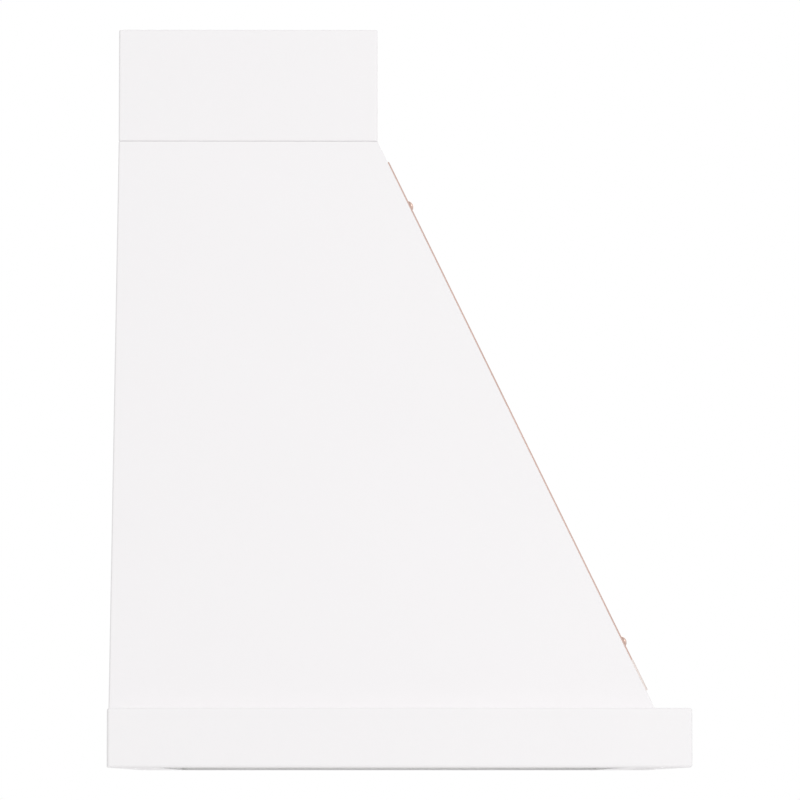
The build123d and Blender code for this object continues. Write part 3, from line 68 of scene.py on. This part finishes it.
Triple = tuple[float, float, float]
Colour = Triple
Span = tuple[float, float]
Points = np.ndarray
Socket = bpy.types.NodeSocket
Inputs = dict[str | int, object]

MM = 0.001
WELD_DISTANCE = 0.001 * MM
ORIGIN: Triple = (0.0, 0.0, 0.0)
UNTURNED: Triple = (0.0, 0.0, 0.0)
WHITE = (1.0, 1.0, 1.0, 1.0)
NOISE_MIDDLE: Span = (0.3, 0.7)

# A Mix node repeats its socket names for each kind of value, so its colours go by their places.
MIX_DARK, MIX_LIGHT, MIX_COLOUR = 6, 7, 2

# The front leans back from upright by this angle, and the grain of the copper follows it.
FRONT_LEAN = math.radians(25.2)
ALONG_FRONT: Triple = (-FRONT_LEAN, 0.0, 0.0)
STAINLESS: Colour = (0.68, 0.68, 0.67)


class Body(Enum):
    """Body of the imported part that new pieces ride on."""

    HOOD = "hood"


class Slot(Enum):
    """Material slot of the record that new pieces belong to."""

    BRIGHT = "bright_steel"


class Grain(Enum):
    """Which way the fine scratches of a brushed metal run, as streak sizes along X, Y and Z in metres."""

    ALONG_X = (0.080, 0.00035, 0.00035)
    ALONG_Y = (0.00035, 0.080, 0.00035)
    ALONG_Z = (0.00035, 0.00035, 0.080)
    NONE = (0.004, 0.004, 0.004)


class Detail(Enum):
    """How many finer layers a noise has."""

    SOFT = 2.0
    EVEN = 3.0
    FINE = 4.0


class Drive(Enum):
    """Which way the head of a screw faces, as the frame's rows: across, across and out of the head."""

    UP = ((1, 0, 0), (0, 1, 0), (0, 0, 1))
    DOWN = ((1, 0, 0), (0, -1, 0), (0, 0, -1))
    FRONT = ((1, 0, 0), (0, 0, 1), (0, -1, 0))
    LEFT = ((0, -1, 0), (0, 0, 1), (-1, 0, 0))


class NodeSheet:
    """Node tree of a material or the world, with short calls that add a node and join it up."""

    def __init__(self, tree: bpy.types.NodeTree) -> None:
        """Holds the tree that the calls work on."""
        self.tree = tree

    def fill(self, node: bpy.types.Node, inputs: Inputs) -> None:
        """Sets or joins a node's inputs.

        Args:
            node: The node to fill.
            inputs: Socket names or places with values, or with the outputs that feed them.
        """
        for key, value in inputs.items():
            if isinstance(value, Socket):
                self.tree.links.new(value, node.inputs[key])
            else:
                node.inputs[key].default_value = value

    def add(self, kind: str, inputs: Inputs, **settings: object) -> bpy.types.Node:
        """Adds one node.

        Args:
            kind: Blender's name for the node's type, without the words ShaderNode.
            inputs: Its inputs, as fill takes them.
            **settings: Its other properties.

        Returns:
            The new node.
        """
        node = self.tree.nodes.new("ShaderNode" + kind)
        for name, value in settings.items():
            setattr(node, name, value)
        self.fill(node, inputs)
        return node

    def place(self, step: float | Triple, turn: Triple = UNTURNED, centre: Triple = ORIGIN) -> Socket:
        """Object coordinates about a centre, in a turned frame, measured in steps.

        Args:
            step: Length of one step, along all axes or along each, in metres.
            turn: Turn of the frame about X, Y and Z, in radians.
            centre: Origin of the frame, in metres.

        Returns:
            The vector output.
        """
        coordinates = self.add("TexCoord", {}).outputs["Object"]
        steps = (step,) * 3 if isinstance(step, float) else step
        inputs = {"Vector": coordinates, "Location": centre, "Rotation": turn, "Scale": steps}
        return self.add("Mapping", inputs, vector_type="TEXTURE").outputs["Vector"]

    def noise(self, vector: Socket, detail: Detail = Detail.EVEN) -> Socket:
        """Cloudy values between 0 and 1, one lump to a step of the vector."""
        return self.add("TexNoise", {"Vector": vector, "Scale": 1.0, "Detail": detail.value}).outputs["Fac"]

    def spread(self, value: Socket, low: float, high: float) -> Socket:
        """Spreads the middle of a noise over a range.

        Args:
            value: Noise output.
            low: Result where the noise is low.
            high: Result where the noise is high.

        Returns:
            The spread value.
        """
        start, end = NOISE_MIDDLE
        inputs = {"Value": value, "From Min": start, "From Max": end, "To Min": low, "To Max": high}
        return self.add("MapRange", inputs).outputs["Result"]

    def tone(self, value: Socket, colour: Colour, change: float) -> Socket:
        """Lets a colour drift lighter and darker with a noise.

        Args:
            value: Noise output.
            colour: The middle colour.
            change: Largest change of its level, as a share.

        Returns:
            The colour output.
        """
        share = self.spread(value, 0.0, 1.0)
        dark, light = (tuple(part * (1 + sign * change) for part in colour) for sign in (-1, 1))
        inputs = {"Factor": share, MIX_DARK: (*dark, 1.0), MIX_LIGHT: (*light, 1.0)}
        return self.add("Mix", inputs, data_type="RGBA").outputs[MIX_COLOUR]

    def bump(self, height: Socket, depth: float) -> Socket:
        """Turns a height pattern between 0 and 1 into a relief of a depth in metres."""
        return self.add("Bump", {"Height": height, "Distance": depth, "Strength": 1.0}).outputs["Normal"]


class MaterialSheet(NodeSheet):
    """Node tree of a new material with its Principled shader."""

    def __init__(self, name: str) -> None:
        """Starts the material.

        Args:
            name: The material's name.
        """
        self.material = bpy.data.materials.new(name)
        self.material.use_nodes = True
        super().__init__(self.material.node_tree)

    def shade(self, **inputs: object) -> bpy.types.Material:
        """Fills the Principled shader.

        Args:
            **inputs: Its socket names with underscores for spaces, and their values or feeds.

        Returns:
            The finished material.
        """
        shader = self.tree.nodes["Principled BSDF"]
        self.fill(shader, {name.replace("_", " "): value for name, value in inputs.items()})
        return self.material


@dataclass(frozen=True)
class Finish(ABC):
    """A finish with its name and its middle colour."""

    name: str
    colour: Colour

    @abstractmethod
    def make(self) -> bpy.types.Material:
        """Builds the material, each kind of finish in its own way."""


@dataclass(frozen=True)
class PowderCoat(Finish):
    """Matte baked paint: a fine pebbled skin whose tone drifts a very little over a hand's width."""

    roughness: Span = (0.62, 0.74)
    gloss: float = 0.02
    pebble: float = 0.9 * MM
    pebble_depth: float = 0.02 * MM
    drift: float = 160 * MM
    change: float = 0.002

    def make(self) -> bpy.types.Material:
        """Builds the material.

        Returns:
            The paint.
        """
        sheet = MaterialSheet(self.name)
        skin = sheet.noise(sheet.place(self.pebble))
        cloud = sheet.noise(sheet.place(self.drift), Detail.SOFT)
        return sheet.shade(
            Base_Color=sheet.tone(cloud, self.colour, self.change),
            Roughness=sheet.spread(skin, *self.roughness),
            Specular_IOR_Level=self.gloss,
            Normal=sheet.bump(skin, self.pebble_depth),
        )


@dataclass(frozen=True)
class BrushedMetal(Finish):
    """Bare metal with fine scratches one way and a slow drift of tone."""

    grain: Grain
    roughness: Span = (0.24, 0.38)
    turn: Triple = UNTURNED
    scratch_depth: float = 0.006 * MM
    drift: float = 70 * MM
    change: float = 0.05

    def make(self) -> bpy.types.Material:
        """Builds the material.

        Returns:
            The metal.
        """
        sheet = MaterialSheet(self.name)
        scratches = sheet.noise(sheet.place(self.grain.value, self.turn), Detail.FINE)
        cloud = sheet.noise(sheet.place(self.drift), Detail.SOFT)
        return sheet.shade(
            Base_Color=sheet.tone(cloud, self.colour, self.change),
            Metallic=1.0,
            Roughness=sheet.spread(scratches, *self.roughness),
            Normal=sheet.bump(scratches, self.scratch_depth),
        )


@dataclass(frozen=True)
class ZincSheet(Finish):
    """Hot-dipped sheet: flat crystals of differing tone, each about as wide as a finger."""

    crystal: float = 9 * MM
    change: float = 0.16
    roughness: Span = (0.30, 0.52)
    skin: float = 1.125 * MM
    skin_depth: float = 0.01 * MM

    def make(self) -> bpy.types.Material:
        """Builds the material.

        Returns:
            The zinc coat.
        """
        sheet = MaterialSheet(self.name)
        cells = sheet.add("TexVoronoi", {"Vector": sheet.place(self.crystal), "Scale": 1.0})
        shade = sheet.add("SeparateColor", {"Color": cells.outputs["Color"]}).outputs["Red"]
        skin = sheet.noise(sheet.place(self.skin))
        return sheet.shade(
            Base_Color=sheet.tone(shade, self.colour, self.change),
            Metallic=1.0,
            Roughness=sheet.spread(shade, *self.roughness),
            Normal=sheet.bump(skin, self.skin_depth),
        )


@dataclass(frozen=True)
class Moulding(Finish):
    """Moulded or painted piece: a fine spark-eroded grain under an even colour."""

    roughness: Span = (0.42, 0.58)
    grain: float = 0.7 * MM
    grain_depth: float = 0.03 * MM
    change: float = 0.08

    def make(self) -> bpy.types.Material:
        """Builds the material.

        Returns:
            The moulded skin.
        """
        sheet = MaterialSheet(self.name)
        grain = sheet.noise(sheet.place(self.grain))
        return sheet.shade(
            Base_Color=sheet.tone(grain, self.colour, self.change),
            Roughness=sheet.spread(grain, *self.roughness),
            Normal=sheet.bump(grain, self.grain_depth),
        )


@dataclass(frozen=True)
class FrostedLens(Finish):
    """Frosted lens with fine concentric ridges about its own centre."""

    centre: Triple
    ridge: float = 1.6 * MM
    ridge_scale: float = 0.5
    ridge_depth: float = 0.25 * MM
    frost: float = 0.6 * MM
    change: float = 0.02
    roughness: Span = (0.35, 0.5)
    clearness: float = 0.35
    index: float = 1.49

    def make(self) -> bpy.types.Material:
        """Builds the material.

        Returns:
            The frosted glass.
        """
        sheet = MaterialSheet(self.name)
        about = sheet.place(self.ridge, centre=self.centre)
        waves = {"Vector": about, "Scale": self.ridge_scale}
        rings = sheet.add("TexWave", waves, wave_type="RINGS", rings_direction="Z").outputs["Fac"]
        frost = sheet.noise(sheet.place(self.frost))
        return sheet.shade(
            Base_Color=sheet.tone(frost, self.colour, self.change),
            Roughness=sheet.spread(frost, *self.roughness),
            Transmission_Weight=self.clearness,
            IOR=self.index,
            Normal=sheet.bump(rings, self.ridge_depth),
        )


@dataclass(frozen=True)
class SolderMask(Finish):
    """Circuit board: green lacquer over straight tracks that show as a faint relief."""

    brick: float = 4.8 * MM
    change: float = 0.2
    roughness: Span = (0.25, 0.4)
    track_depth: float = 0.03 * MM

    def make(self) -> bpy.types.Material:
        """Builds the material.

        Returns:
            The lacquered board.
        """
        sheet = MaterialSheet(self.name)
        tracks = sheet.add("TexBrick", {"Vector": sheet.place(self.brick), "Scale": 1.0}).outputs["Fac"]
        return sheet.shade(
            Base_Color=sheet.tone(tracks, self.colour, self.change),
            Roughness=sheet.spread(tracks, *self.roughness),
            Normal=sheet.bump(tracks, self.track_depth),
        )


def dress(finish: Finish, *nodes: str) -> None:
    """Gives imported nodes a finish.

    Args:
        finish: The finish, which becomes one material for all of the nodes.
        *nodes: Names of the nodes.
    """
    material = finish.make()
    for name in nodes:
        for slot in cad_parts[name].material_slots:
            slot.material = material
        log.info("node %s is dressed in %s", name, finish.name)


def surface(
    name: str, grids: Points, finish: bpy.types.Material, body: Body
) -> bpy.types.Object:
    """Makes one mesh piece from equal grids of points, each closed round its second direction.

    Faces join neighbours along both directions, and the second direction wraps round. The first and last
    rings of each grid are points that all lie together, so the ends close.

    Args:
        name: The piece's name.
        grids: Points as an array of grid, ring, place on the ring, and X, Y and Z.
        finish: Its material.
        body: The body that it rides on.

    Returns:
        The new object.
    """
    count, rings, sides, _ = grids.shape
    ring, side = np.meshgrid(np.arange(rings - 1), np.arange(sides), indexing="ij")
    after = (side + 1) % sides
    this, following = ring * sides, (ring + 1) * sides
    quads = np.stack([this + side, following + side, following + after, this + after], -1)
    starts = np.arange(count).reshape(-1, 1, 1) * rings * sides
    mesh = bpy.data.meshes.new(name)
    mesh.from_pydata(grids.reshape(-1, 3), [], (quads.reshape(1, -1, 4) + starts).reshape(-1, 4))
    mesh.validate()
    weld(mesh)
    mesh.polygons.foreach_set("use_smooth", np.ones(len(mesh.polygons), bool))
    mesh.materials.append(finish)
    piece = bpy.data.objects.new(name, mesh)
    bpy.context.scene.collection.objects.link(piece)
    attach(piece, body.value)
    log.info("piece %s rides on %s", name, body.value)
    return piece


def weld(mesh: bpy.types.Mesh) -> None:
    """Joins points that lie together and turns all faces outwards.

    Args:
        mesh: The mesh.
    """
    work = bmesh.new()
    work.from_mesh(mesh)
    bmesh.ops.remove_doubles(work, verts=work.verts, dist=WELD_DISTANCE)
    bmesh.ops.recalc_face_normals(work, faces=work.faces)
    work.to_mesh(mesh)
    work.free()


def solid_boxes(node: str, reach: float) -> Points:
    """Boxes of the small solids of a node, which stand well apart.

    All points within reach of the first one belong to its solid, and so on with the points that are left.

    Args:
        node: The node's name.
        reach: Longer than any of the solids and shorter than the way between two, in metres.

    Returns:
        Array of solid, low or high corner, and X, Y and Z.
    """
    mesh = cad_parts[node].data
    flat = np.empty(len(mesh.vertices) * 3)
    mesh.vertices.foreach_get("co", flat)
    points = flat.reshape(-1, 3)
    boxes = []
    while len(points):
        near = np.linalg.norm(points - points[0], axis=1) < reach
        boxes.append([points[near].min(0), points[near].max(0)])
        points = points[~near]
    return np.array(boxes)


@dataclass
class ScrewSet:
    """Pan-head screws with a cross recess and a threaded shank, in the places of one packed group."""

    node: str
    drive: Drive
    apart: float = 40 * MM
    head_radius: float = 4.0 * MM
    head_height: float = 2.2 * MM
    head_power: int = 4
    head_rings: int = 22
    ring_crowding: float = 0.8
    recess_width: float = 0.55 * MM
    recess_reach: float = 2.2 * MM
    recess_depth: float = 1.3 * MM
    recess_fade: float = 1.5
    shank_radius: float = 2.0 * MM
    shank_rings: int = 40
    pitch: float = 0.8 * MM
    thread: float = 0.18 * MM
    sides: int = 48

    def turns(self) -> Points:
        """Angles of the points on a ring."""
        return np.arange(self.sides) * 2 * math.pi / self.sides

    def head(self) -> Points:
        """Head as rings from its middle to its rim.

        Height falls from the middle to the rim as an oval of a high power. The recess lowers it inside two
        bars that cross, each faded out over its edge by a smooth step. The rings crowd towards the rim.

        Returns:
            Array of ring, side, and radius, turn and height.
        """
        reach = np.linspace(0, 1, self.head_rings) ** self.ring_crowding
        share, angle = np.meshgrid(reach, self.turns(), indexing="ij")
        radius = share * self.head_radius
        dome = self.head_height * (1 - share**self.head_power) ** (1 / self.head_power)
        across = np.abs(np.stack([radius * np.cos(angle), radius * np.sin(angle)]))
        narrow = np.clip(self.recess_fade - across / self.recess_width, 0, 1)
        within = np.clip((self.recess_reach - across) / self.recess_width, 0, 1)
        bars = np.maximum(narrow[0] * within[1], narrow[1] * within[0])
        height = dome - self.recess_depth * bars**2 * (3 - 2 * bars)
        return np.stack([radius, angle, height], -1)

    def shank(self, length: float) -> Points:
        """Underside of the head, then the shank, whose radius rises and falls along a helix.

        Args:
            length: From under the head to the tip.

        Returns:
            Array of ring, side, and radius, turn and height.
        """
        depth = np.concatenate([[0.0], np.linspace(0.0, length, self.shank_rings), [length]])
        down, angle = np.meshgrid(depth, self.turns(), indexing="ij")
        wave = np.cos(2 * math.pi * down / self.pitch - angle)
        radius = self.shank_radius - self.thread / 2 + self.thread / 2 * wave
        radius[0] = self.head_radius
        radius[-1] = 0.0
        return np.stack([radius, angle, -down], -1)

    def build(self, finish: bpy.types.Material) -> bpy.types.Object:
        """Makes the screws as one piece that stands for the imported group.

        Each screw is seated under its head: the far end of its packed box, less the head's height.

        Args:
            finish: Their material.

        Returns:
            The new piece.
        """
        boxes = solid_boxes(self.node, self.apart)
        axes = np.array(self.drive.value, float)
        out = axes[2]
        spans = np.sort(boxes @ out, axis=1)
        length = float((spans[:, 1] - spans[:, 0]).mean()) - self.head_height
        rings = np.concatenate([self.head(), self.shank(length)])
        radius, angle, height = np.moveaxis(rings, -1, 0)
        local = np.stack([radius * np.cos(angle), radius * np.sin(angle), height], -1) @ axes
        middle = boxes.mean(1)
        seat = middle + np.outer(spans[:, 1] - self.head_height - middle @ out, out)
        grids = seat[:, None, None] + local
        piece = surface(f"{self.node}_recessed", grids, finish, Body.HOOD)
        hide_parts(self.node)
        return piece


@dataclass
class Casing:
    """Painted sheet outside: apron, canopy, chimney cover and back panel."""

    sheets: tuple[str, ...] = ("apron_band", "canopy_shell", "chimney_cover", "back_panel")
    paint: PowderCoat = PowderCoat("white_powder_coat", (0.895, 0.880, 0.888))

    def dress(self) -> None:
        """Paints the sheets."""
        dress(self.paint, *self.sheets)


@dataclass
class CopperTrim:
    """Copper straps with domed rivets, and the band across the foot of the front, in the same copper made
    paler as a painted sheen.
    """

    strap: BrushedMetal = BrushedMetal(
        "satin_copper", (0.75, 0.535, 0.47), Grain.ALONG_Z, roughness=(0.28, 0.42), turn=ALONG_FRONT)
    rivet: BrushedMetal = BrushedMetal(
        "polished_copper", (0.80, 0.58, 0.50), Grain.NONE, roughness=(0.05, 0.12))
    # The band's copper is made paler than the straps' to paint in the bright sheen that its end face shows.
    band: BrushedMetal = BrushedMetal(
        "copper_with_painted_sheen", (0.87, 0.775, 0.735), Grain.ALONG_X, roughness=(0.28, 0.42), turn=ALONG_FRONT)

    def dress(self) -> None:
        """Gives the straps, the rivets and the band their coppers."""
        dress(self.strap, "left_strap", "right_strap")
        dress(self.rivet, "strap_rivets")
        dress(self.band, "lower_band")


@dataclass
class FilterBay:
    """Stainless liner with its crossbars and rod, magnets, and three hinged baffle filters."""

    places: tuple[str, ...] = ("left", "centre", "right")
    across: BrushedMetal = BrushedMetal("stainless_across", STAINLESS, Grain.ALONG_X)
    along: BrushedMetal = BrushedMetal("stainless_along", STAINLESS, Grain.ALONG_Y)
    rod: BrushedMetal = BrushedMetal(
        "stainless_rod", (0.62, 0.62, 0.61), Grain.ALONG_X, roughness=(0.14, 0.24))
    magnet: Moulding = Moulding("magnet_case", (0.03, 0.03, 0.033))

    def of_each(self, piece: str) -> list[str]:
        """Names of one piece of the three filters."""
        return [f"{place}_filter_{piece}" for place in self.places]

    def dress(self) -> None:
        """Brushes each piece along its length."""
        dress(self.across, "filter_liner", "control_plate", *self.of_each("frame"))
        dress(self.along, "filter_crossbars", *self.of_each("baffles"))
        dress(self.rod, "filter_rod", *self.of_each("handle"))
        dress(self.magnet, "filter_catches")


@dataclass
class FrontStrip:
    """Lamps and push buttons in the front strip of the underside."""

    lamps: tuple[str, ...] = ("left_lamp", "right_lamp")
    buttons: tuple[str, ...] = ("power", "light", "low_speed", "medium_speed", "high_speed")
    casting: BrushedMetal = BrushedMetal(
        "cast_aluminium", (0.58, 0.58, 0.59), Grain.NONE, roughness=(0.4, 0.55))
    lens_colour: Colour = (0.92, 0.91, 0.88)
    plating: BrushedMetal = BrushedMetal(
        "button_plate", (0.66, 0.66, 0.67), Grain.ALONG_X, roughness=(0.12, 0.22))
    moulding: Moulding = Moulding("black_moulding", (0.022, 0.022, 0.024))
    board: SolderMask = SolderMask("green_board", (0.03, 0.16, 0.07))

    def dress(self) -> None:
        """Finishes the lamps, the buttons and what is behind them."""
        dress(self.casting, *[f"{lamp}_housing" for lamp in self.lamps])
        for lamp in self.lamps:
            low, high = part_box(f"{lamp}_lens")
            lens = FrostedLens(f"{lamp}_frosted", self.lens_colour, tuple((low + high) / 2))
            dress(lens, f"{lamp}_lens")
        dress(self.plating, *[f"{button}_button" for button in self.buttons])
        dress(self.moulding, "control_housing", "cable_gland")
        dress(self.board, "switch_board")


@dataclass
class Blower:
    """Zinc-coated deck, duct and scroll, with the wheel, the motor and its electrics."""

    sheets: tuple[str, ...] = (
        "blower_deck", "duct_collar", "front_damper_flap", "rear_damper_flap", "outlet_transition",
        "blower_scroll", "left_inlet_ring", "right_inlet_ring", "impeller", "motor_spider",
        "electrical_box", "electrical_box_lid", "capacitor_clip",
    )
    zinc: ZincSheet = ZincSheet("zinc_sheet", (0.50, 0.52, 0.53))
    ground: BrushedMetal = BrushedMetal(
        "ground_steel", (0.58, 0.58, 0.58), Grain.ALONG_X, roughness=(0.15, 0.28))
    enamel: Moulding = Moulding("motor_enamel", (0.045, 0.045, 0.05), roughness=(0.30, 0.42))
    shell: Moulding = Moulding("capacitor_shell", (0.62, 0.62, 0.60), roughness=(0.35, 0.5))

    def dress(self) -> None:
        """Finishes the sheet work, the shafts, the motor and the capacitor."""
        dress(self.zinc, *self.sheets)
        dress(self.ground, "damper_pins", "motor_shaft")
        dress(self.enamel, "motor_body")
        dress(self.shell, "capacitor")


@dataclass
class Fasteners:
    """Every screw group, with its recess and thread."""

    sets: tuple[ScrewSet, ...] = (
        ScrewSet("chimney_screws", Drive.UP),
        ScrewSet("canopy_screws", Drive.DOWN),
        ScrewSet("back_panel_screws", Drive.FRONT),
        ScrewSet("collar_screws", Drive.UP),
        ScrewSet("blower_screws", Drive.UP),
        ScrewSet("spider_screws", Drive.LEFT),
    )
    plate: BrushedMetal = BrushedMetal(
        "bright_zinc", (0.62, 0.63, 0.64), Grain.NONE, roughness=(0.16, 0.3))

    def build(self) -> None:
        """Makes each set in one bright zinc plate."""
        plate = self.plate.make()
        for screws in self.sets:
            screws.build(plate)


@dataclass
class Lamp:
    """One soft square studio lamp aimed at the hood and kept out of the picture."""

    name: str
    place: Triple
    side: float
    power: float
    mirrored: bool = True

    def build(self, aim: Vector) -> None:
        """Hangs the lamp.

        Args:
            aim: The point that it faces.
        """
        light = bpy.data.lights.new(self.name, "AREA")
        light.size = self.side
        light.energy = self.power
        lamp = bpy.data.objects.new(self.name, light)
        lamp.location = self.place
        lamp.visible_camera = False
        lamp.visible_glossy = self.mirrored
        lamp.rotation_euler = (aim - Vector(self.place)).to_track_quat("-Z", "Y").to_euler()
        bpy.context.scene.collection.objects.link(lamp)


@dataclass(frozen=True)
class Card:
    """Bright patch of the surroundings that bare metal mirrors.

    Its level rises smoothly, as a ray turns towards it, between two cosines of the angle to its direction.
    """

    aim: Triple
    turn: Span
    level: float

    def shine(self, sheet: NodeSheet, ray: Socket) -> Socket:
        """Level that the card adds.

        Args:
            sheet: The world's nodes.
            ray: The ray's direction.

        Returns:
            The level output.
        """
        across = sheet.add("VectorMath", {0: ray, 1: self.aim}, operation="DOT_PRODUCT").outputs["Value"]
        start, end = self.turn
        span = {"Value": across, "From Min": start, "From Max": end, "To Min": 0.0, "To Max": self.level}
        return sheet.add("MapRange", span, interpolation_type="SMOOTHSTEP").outputs["Result"]


@dataclass
class Studio:
    """White surroundings: an even sky, soft lamps, and a pale floor far below that keeps the shadow."""

    sky: float = 0.655
    mirrored: float = 0.40
    cards: tuple[Card, ...] = (
        Card((-1.0, 0.0, 0.0), (0.15, 0.85), 0.52),
        Card((-1.0, 0.0, 0.0), (0.80, 0.97), 0.22),
        Card((0.0, -0.5, -0.87), (0.3, 0.8), 0.15),
        Card((0.16, -0.90, 0.40), (0.80, 0.98), 0.36),
        Card((0.16, -0.90, 0.40), (0.980, 0.995), 1.30),
        Card((0.75, -0.60, 0.28), (0.35, 0.90), 0.24),
    )
    lamps: tuple[Lamp, ...] = (
        Lamp("key_lamp", (-5.7, -2.1, 2.3), 2.6, 141.0, mirrored=False),
        Lamp("fill_lamp", (5.8, -0.3, 1.8), 5.0, 92.0),
        Lamp("under_lamp", (0.1, -0.3, -1.3), 1.6, 4.0, mirrored=False),
    )
    floor_drop: float = 1.65
    floor_side: float = 12.0
    floor_lines: int = 13
    floor_fade: Span = (1.5, 5.0)
    floor_colour: Colour = (0.90, 0.90, 0.90)
    floor_patch: float = 0.4
    floor_change: float = 0.004

    def build_sky(self) -> None:
        """Lights all sides evenly, shows plain white behind the hood and lets bare metal mirror a studio.

        The mirrored level is that of a dim ceiling, and the cards add to it on the left, below, in front
        and on the right.
        """
        world = bpy.data.worlds.new("white_room")
        world.use_nodes = True
        sheet = NodeSheet(world.node_tree)
        path = sheet.add("LightPath", {}).outputs
        ray = sheet.add("TexCoord", {}).outputs["Generated"]
        mirrored = self.mirrored
        for card in self.cards:
            sum_so_far = {0: mirrored, 1: card.shine(sheet, ray)}
            mirrored = sheet.add("Math", sum_so_far, operation="ADD").outputs["Value"]
        by_ray = {"Factor": path["Is Glossy Ray"], "A": self.sky, "B": mirrored}
        lit = sheet.add("Mix", by_ray).outputs["Result"]
        straight = {0: path["Is Camera Ray"], 1: path["Is Transmission Ray"]}
        seen = sheet.add("Math", straight, operation="MAXIMUM").outputs["Value"]
        level = sheet.add("Mix", {"Factor": seen, "A": lit, "B": 1.0}).outputs["Result"]
        sheet.fill(sheet.tree.nodes["Background"], {"Color": WHITE, "Strength": level})
        bpy.context.scene.world = world

    def floor_material(self) -> bpy.types.Material:
        """Matte floor that fades out far from the hood and can't be seen from below.

        Returns:
            The material.
        """
        sheet = MaterialSheet("pale_floor")
        patches = sheet.noise(sheet.place(self.floor_patch))
        tone = sheet.tone(patches, self.floor_colour, self.floor_change)
        lit = sheet.add("BsdfDiffuse", {"Color": tone}).outputs["BSDF"]
        from_foot = sheet.place(1.0, centre=(0.0, 0.0, -self.floor_drop))
        distance = sheet.add("VectorMath", {0: from_foot}, operation="LENGTH").outputs["Value"]
        near, far = self.floor_fade
        reach = {"Value": distance, "From Min": near, "From Max": far}
        fade = sheet.add("MapRange", reach).outputs["Result"]
        below = sheet.add("NewGeometry", {}).outputs["Backfacing"]
        hidden = sheet.add("Math", {0: fade, 1: below}, operation="MAXIMUM").outputs["Value"]
        clear = sheet.add("BsdfTransparent", {}).outputs["BSDF"]
        shown = sheet.add("MixShader", {0: hidden, 1: lit, 2: clear}).outputs["Shader"]
        sheet.fill(sheet.tree.nodes["Material Output"], {"Surface": shown})
        return sheet.material

    def build_floor(self) -> None:
        """Lays the floor: a level square grid, centred under the hood."""
        half = self.floor_side / 2
        across = np.linspace(-half, half, self.floor_lines)
        x, y = np.meshgrid(across, across, indexing="ij")
        points = np.stack([x, y, np.full_like(x, -self.floor_drop)], -1)
        index = np.arange(x.size).reshape(x.shape)
        around = [index[:-1, :-1], index[1:, :-1], index[1:, 1:], index[:-1, 1:]]
        mesh = bpy.data.meshes.new("floor")
        mesh.from_pydata(points.reshape(-1, 3), [], np.stack(around, -1).reshape(-1, 4))
        mesh.materials.append(self.floor_material())
        floor = bpy.data.objects.new("floor", mesh)
        bpy.context.scene.collection.objects.link(floor)
        floor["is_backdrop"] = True

    def build(self, aim: Vector) -> None:
        """Sets up the surroundings.

        Args:
            aim: The point that the lamps face.
        """
        bpy.context.scene.view_settings.view_transform = "Standard"
        self.build_sky()
        self.build_floor()
        for lamp in self.lamps:
            lamp.build(aim)


@dataclass
class PhotoCamera:
    """Long lens level with the underside, on the hood's left, tipped up a little to frame it.

    The focal length and the places in the frame are in pixels, the sensor is in millimetres.
    """

    place: Triple = (-6.2098, -0.2681, -0.0203)
    frame_side: float = 800.0
    focal_length: float = 5517.6
    level_row: float = 787.1
    square_column: float = 364.5
    sensor: float = 36.0

    def build(self) -> None:
        """Makes the camera: it looks along +X, turned until that direction lands on its pixel."""
        camera = bpy.data.cameras.new("photo_camera")
        camera.sensor_width = self.sensor
        camera.lens = self.sensor * self.focal_length / self.frame_side
        middle = self.frame_side / 2
        up = math.atan((self.level_row - middle) / self.focal_length)
        aside = math.atan((middle - self.square_column) / self.focal_length)
        look = Vector((math.cos(up) * math.cos(aside), -math.cos(up) * math.sin(aside), math.sin(up)))
        holder = bpy.data.objects.new("photo_camera", camera)
        holder.location = self.place
        holder.rotation_euler = look.to_track_quat("-Z", "Y").to_euler()
        bpy.context.scene.collection.objects.link(holder)
        bpy.context.scene.camera = holder


def main() -> None:
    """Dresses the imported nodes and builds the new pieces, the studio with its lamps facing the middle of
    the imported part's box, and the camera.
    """
    logging.basicConfig(level=logging.INFO, format="%(name)s: %(message)s")
    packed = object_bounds()
    for assembly in (Casing(), CopperTrim(), FilterBay(), FrontStrip(), Blower()):
        assembly.dress()
    Fasteners().build()
    Studio().build((packed[0] + packed[1]) / 2)
    PhotoCamera().build()


if __name__ == "__main__":
    main()
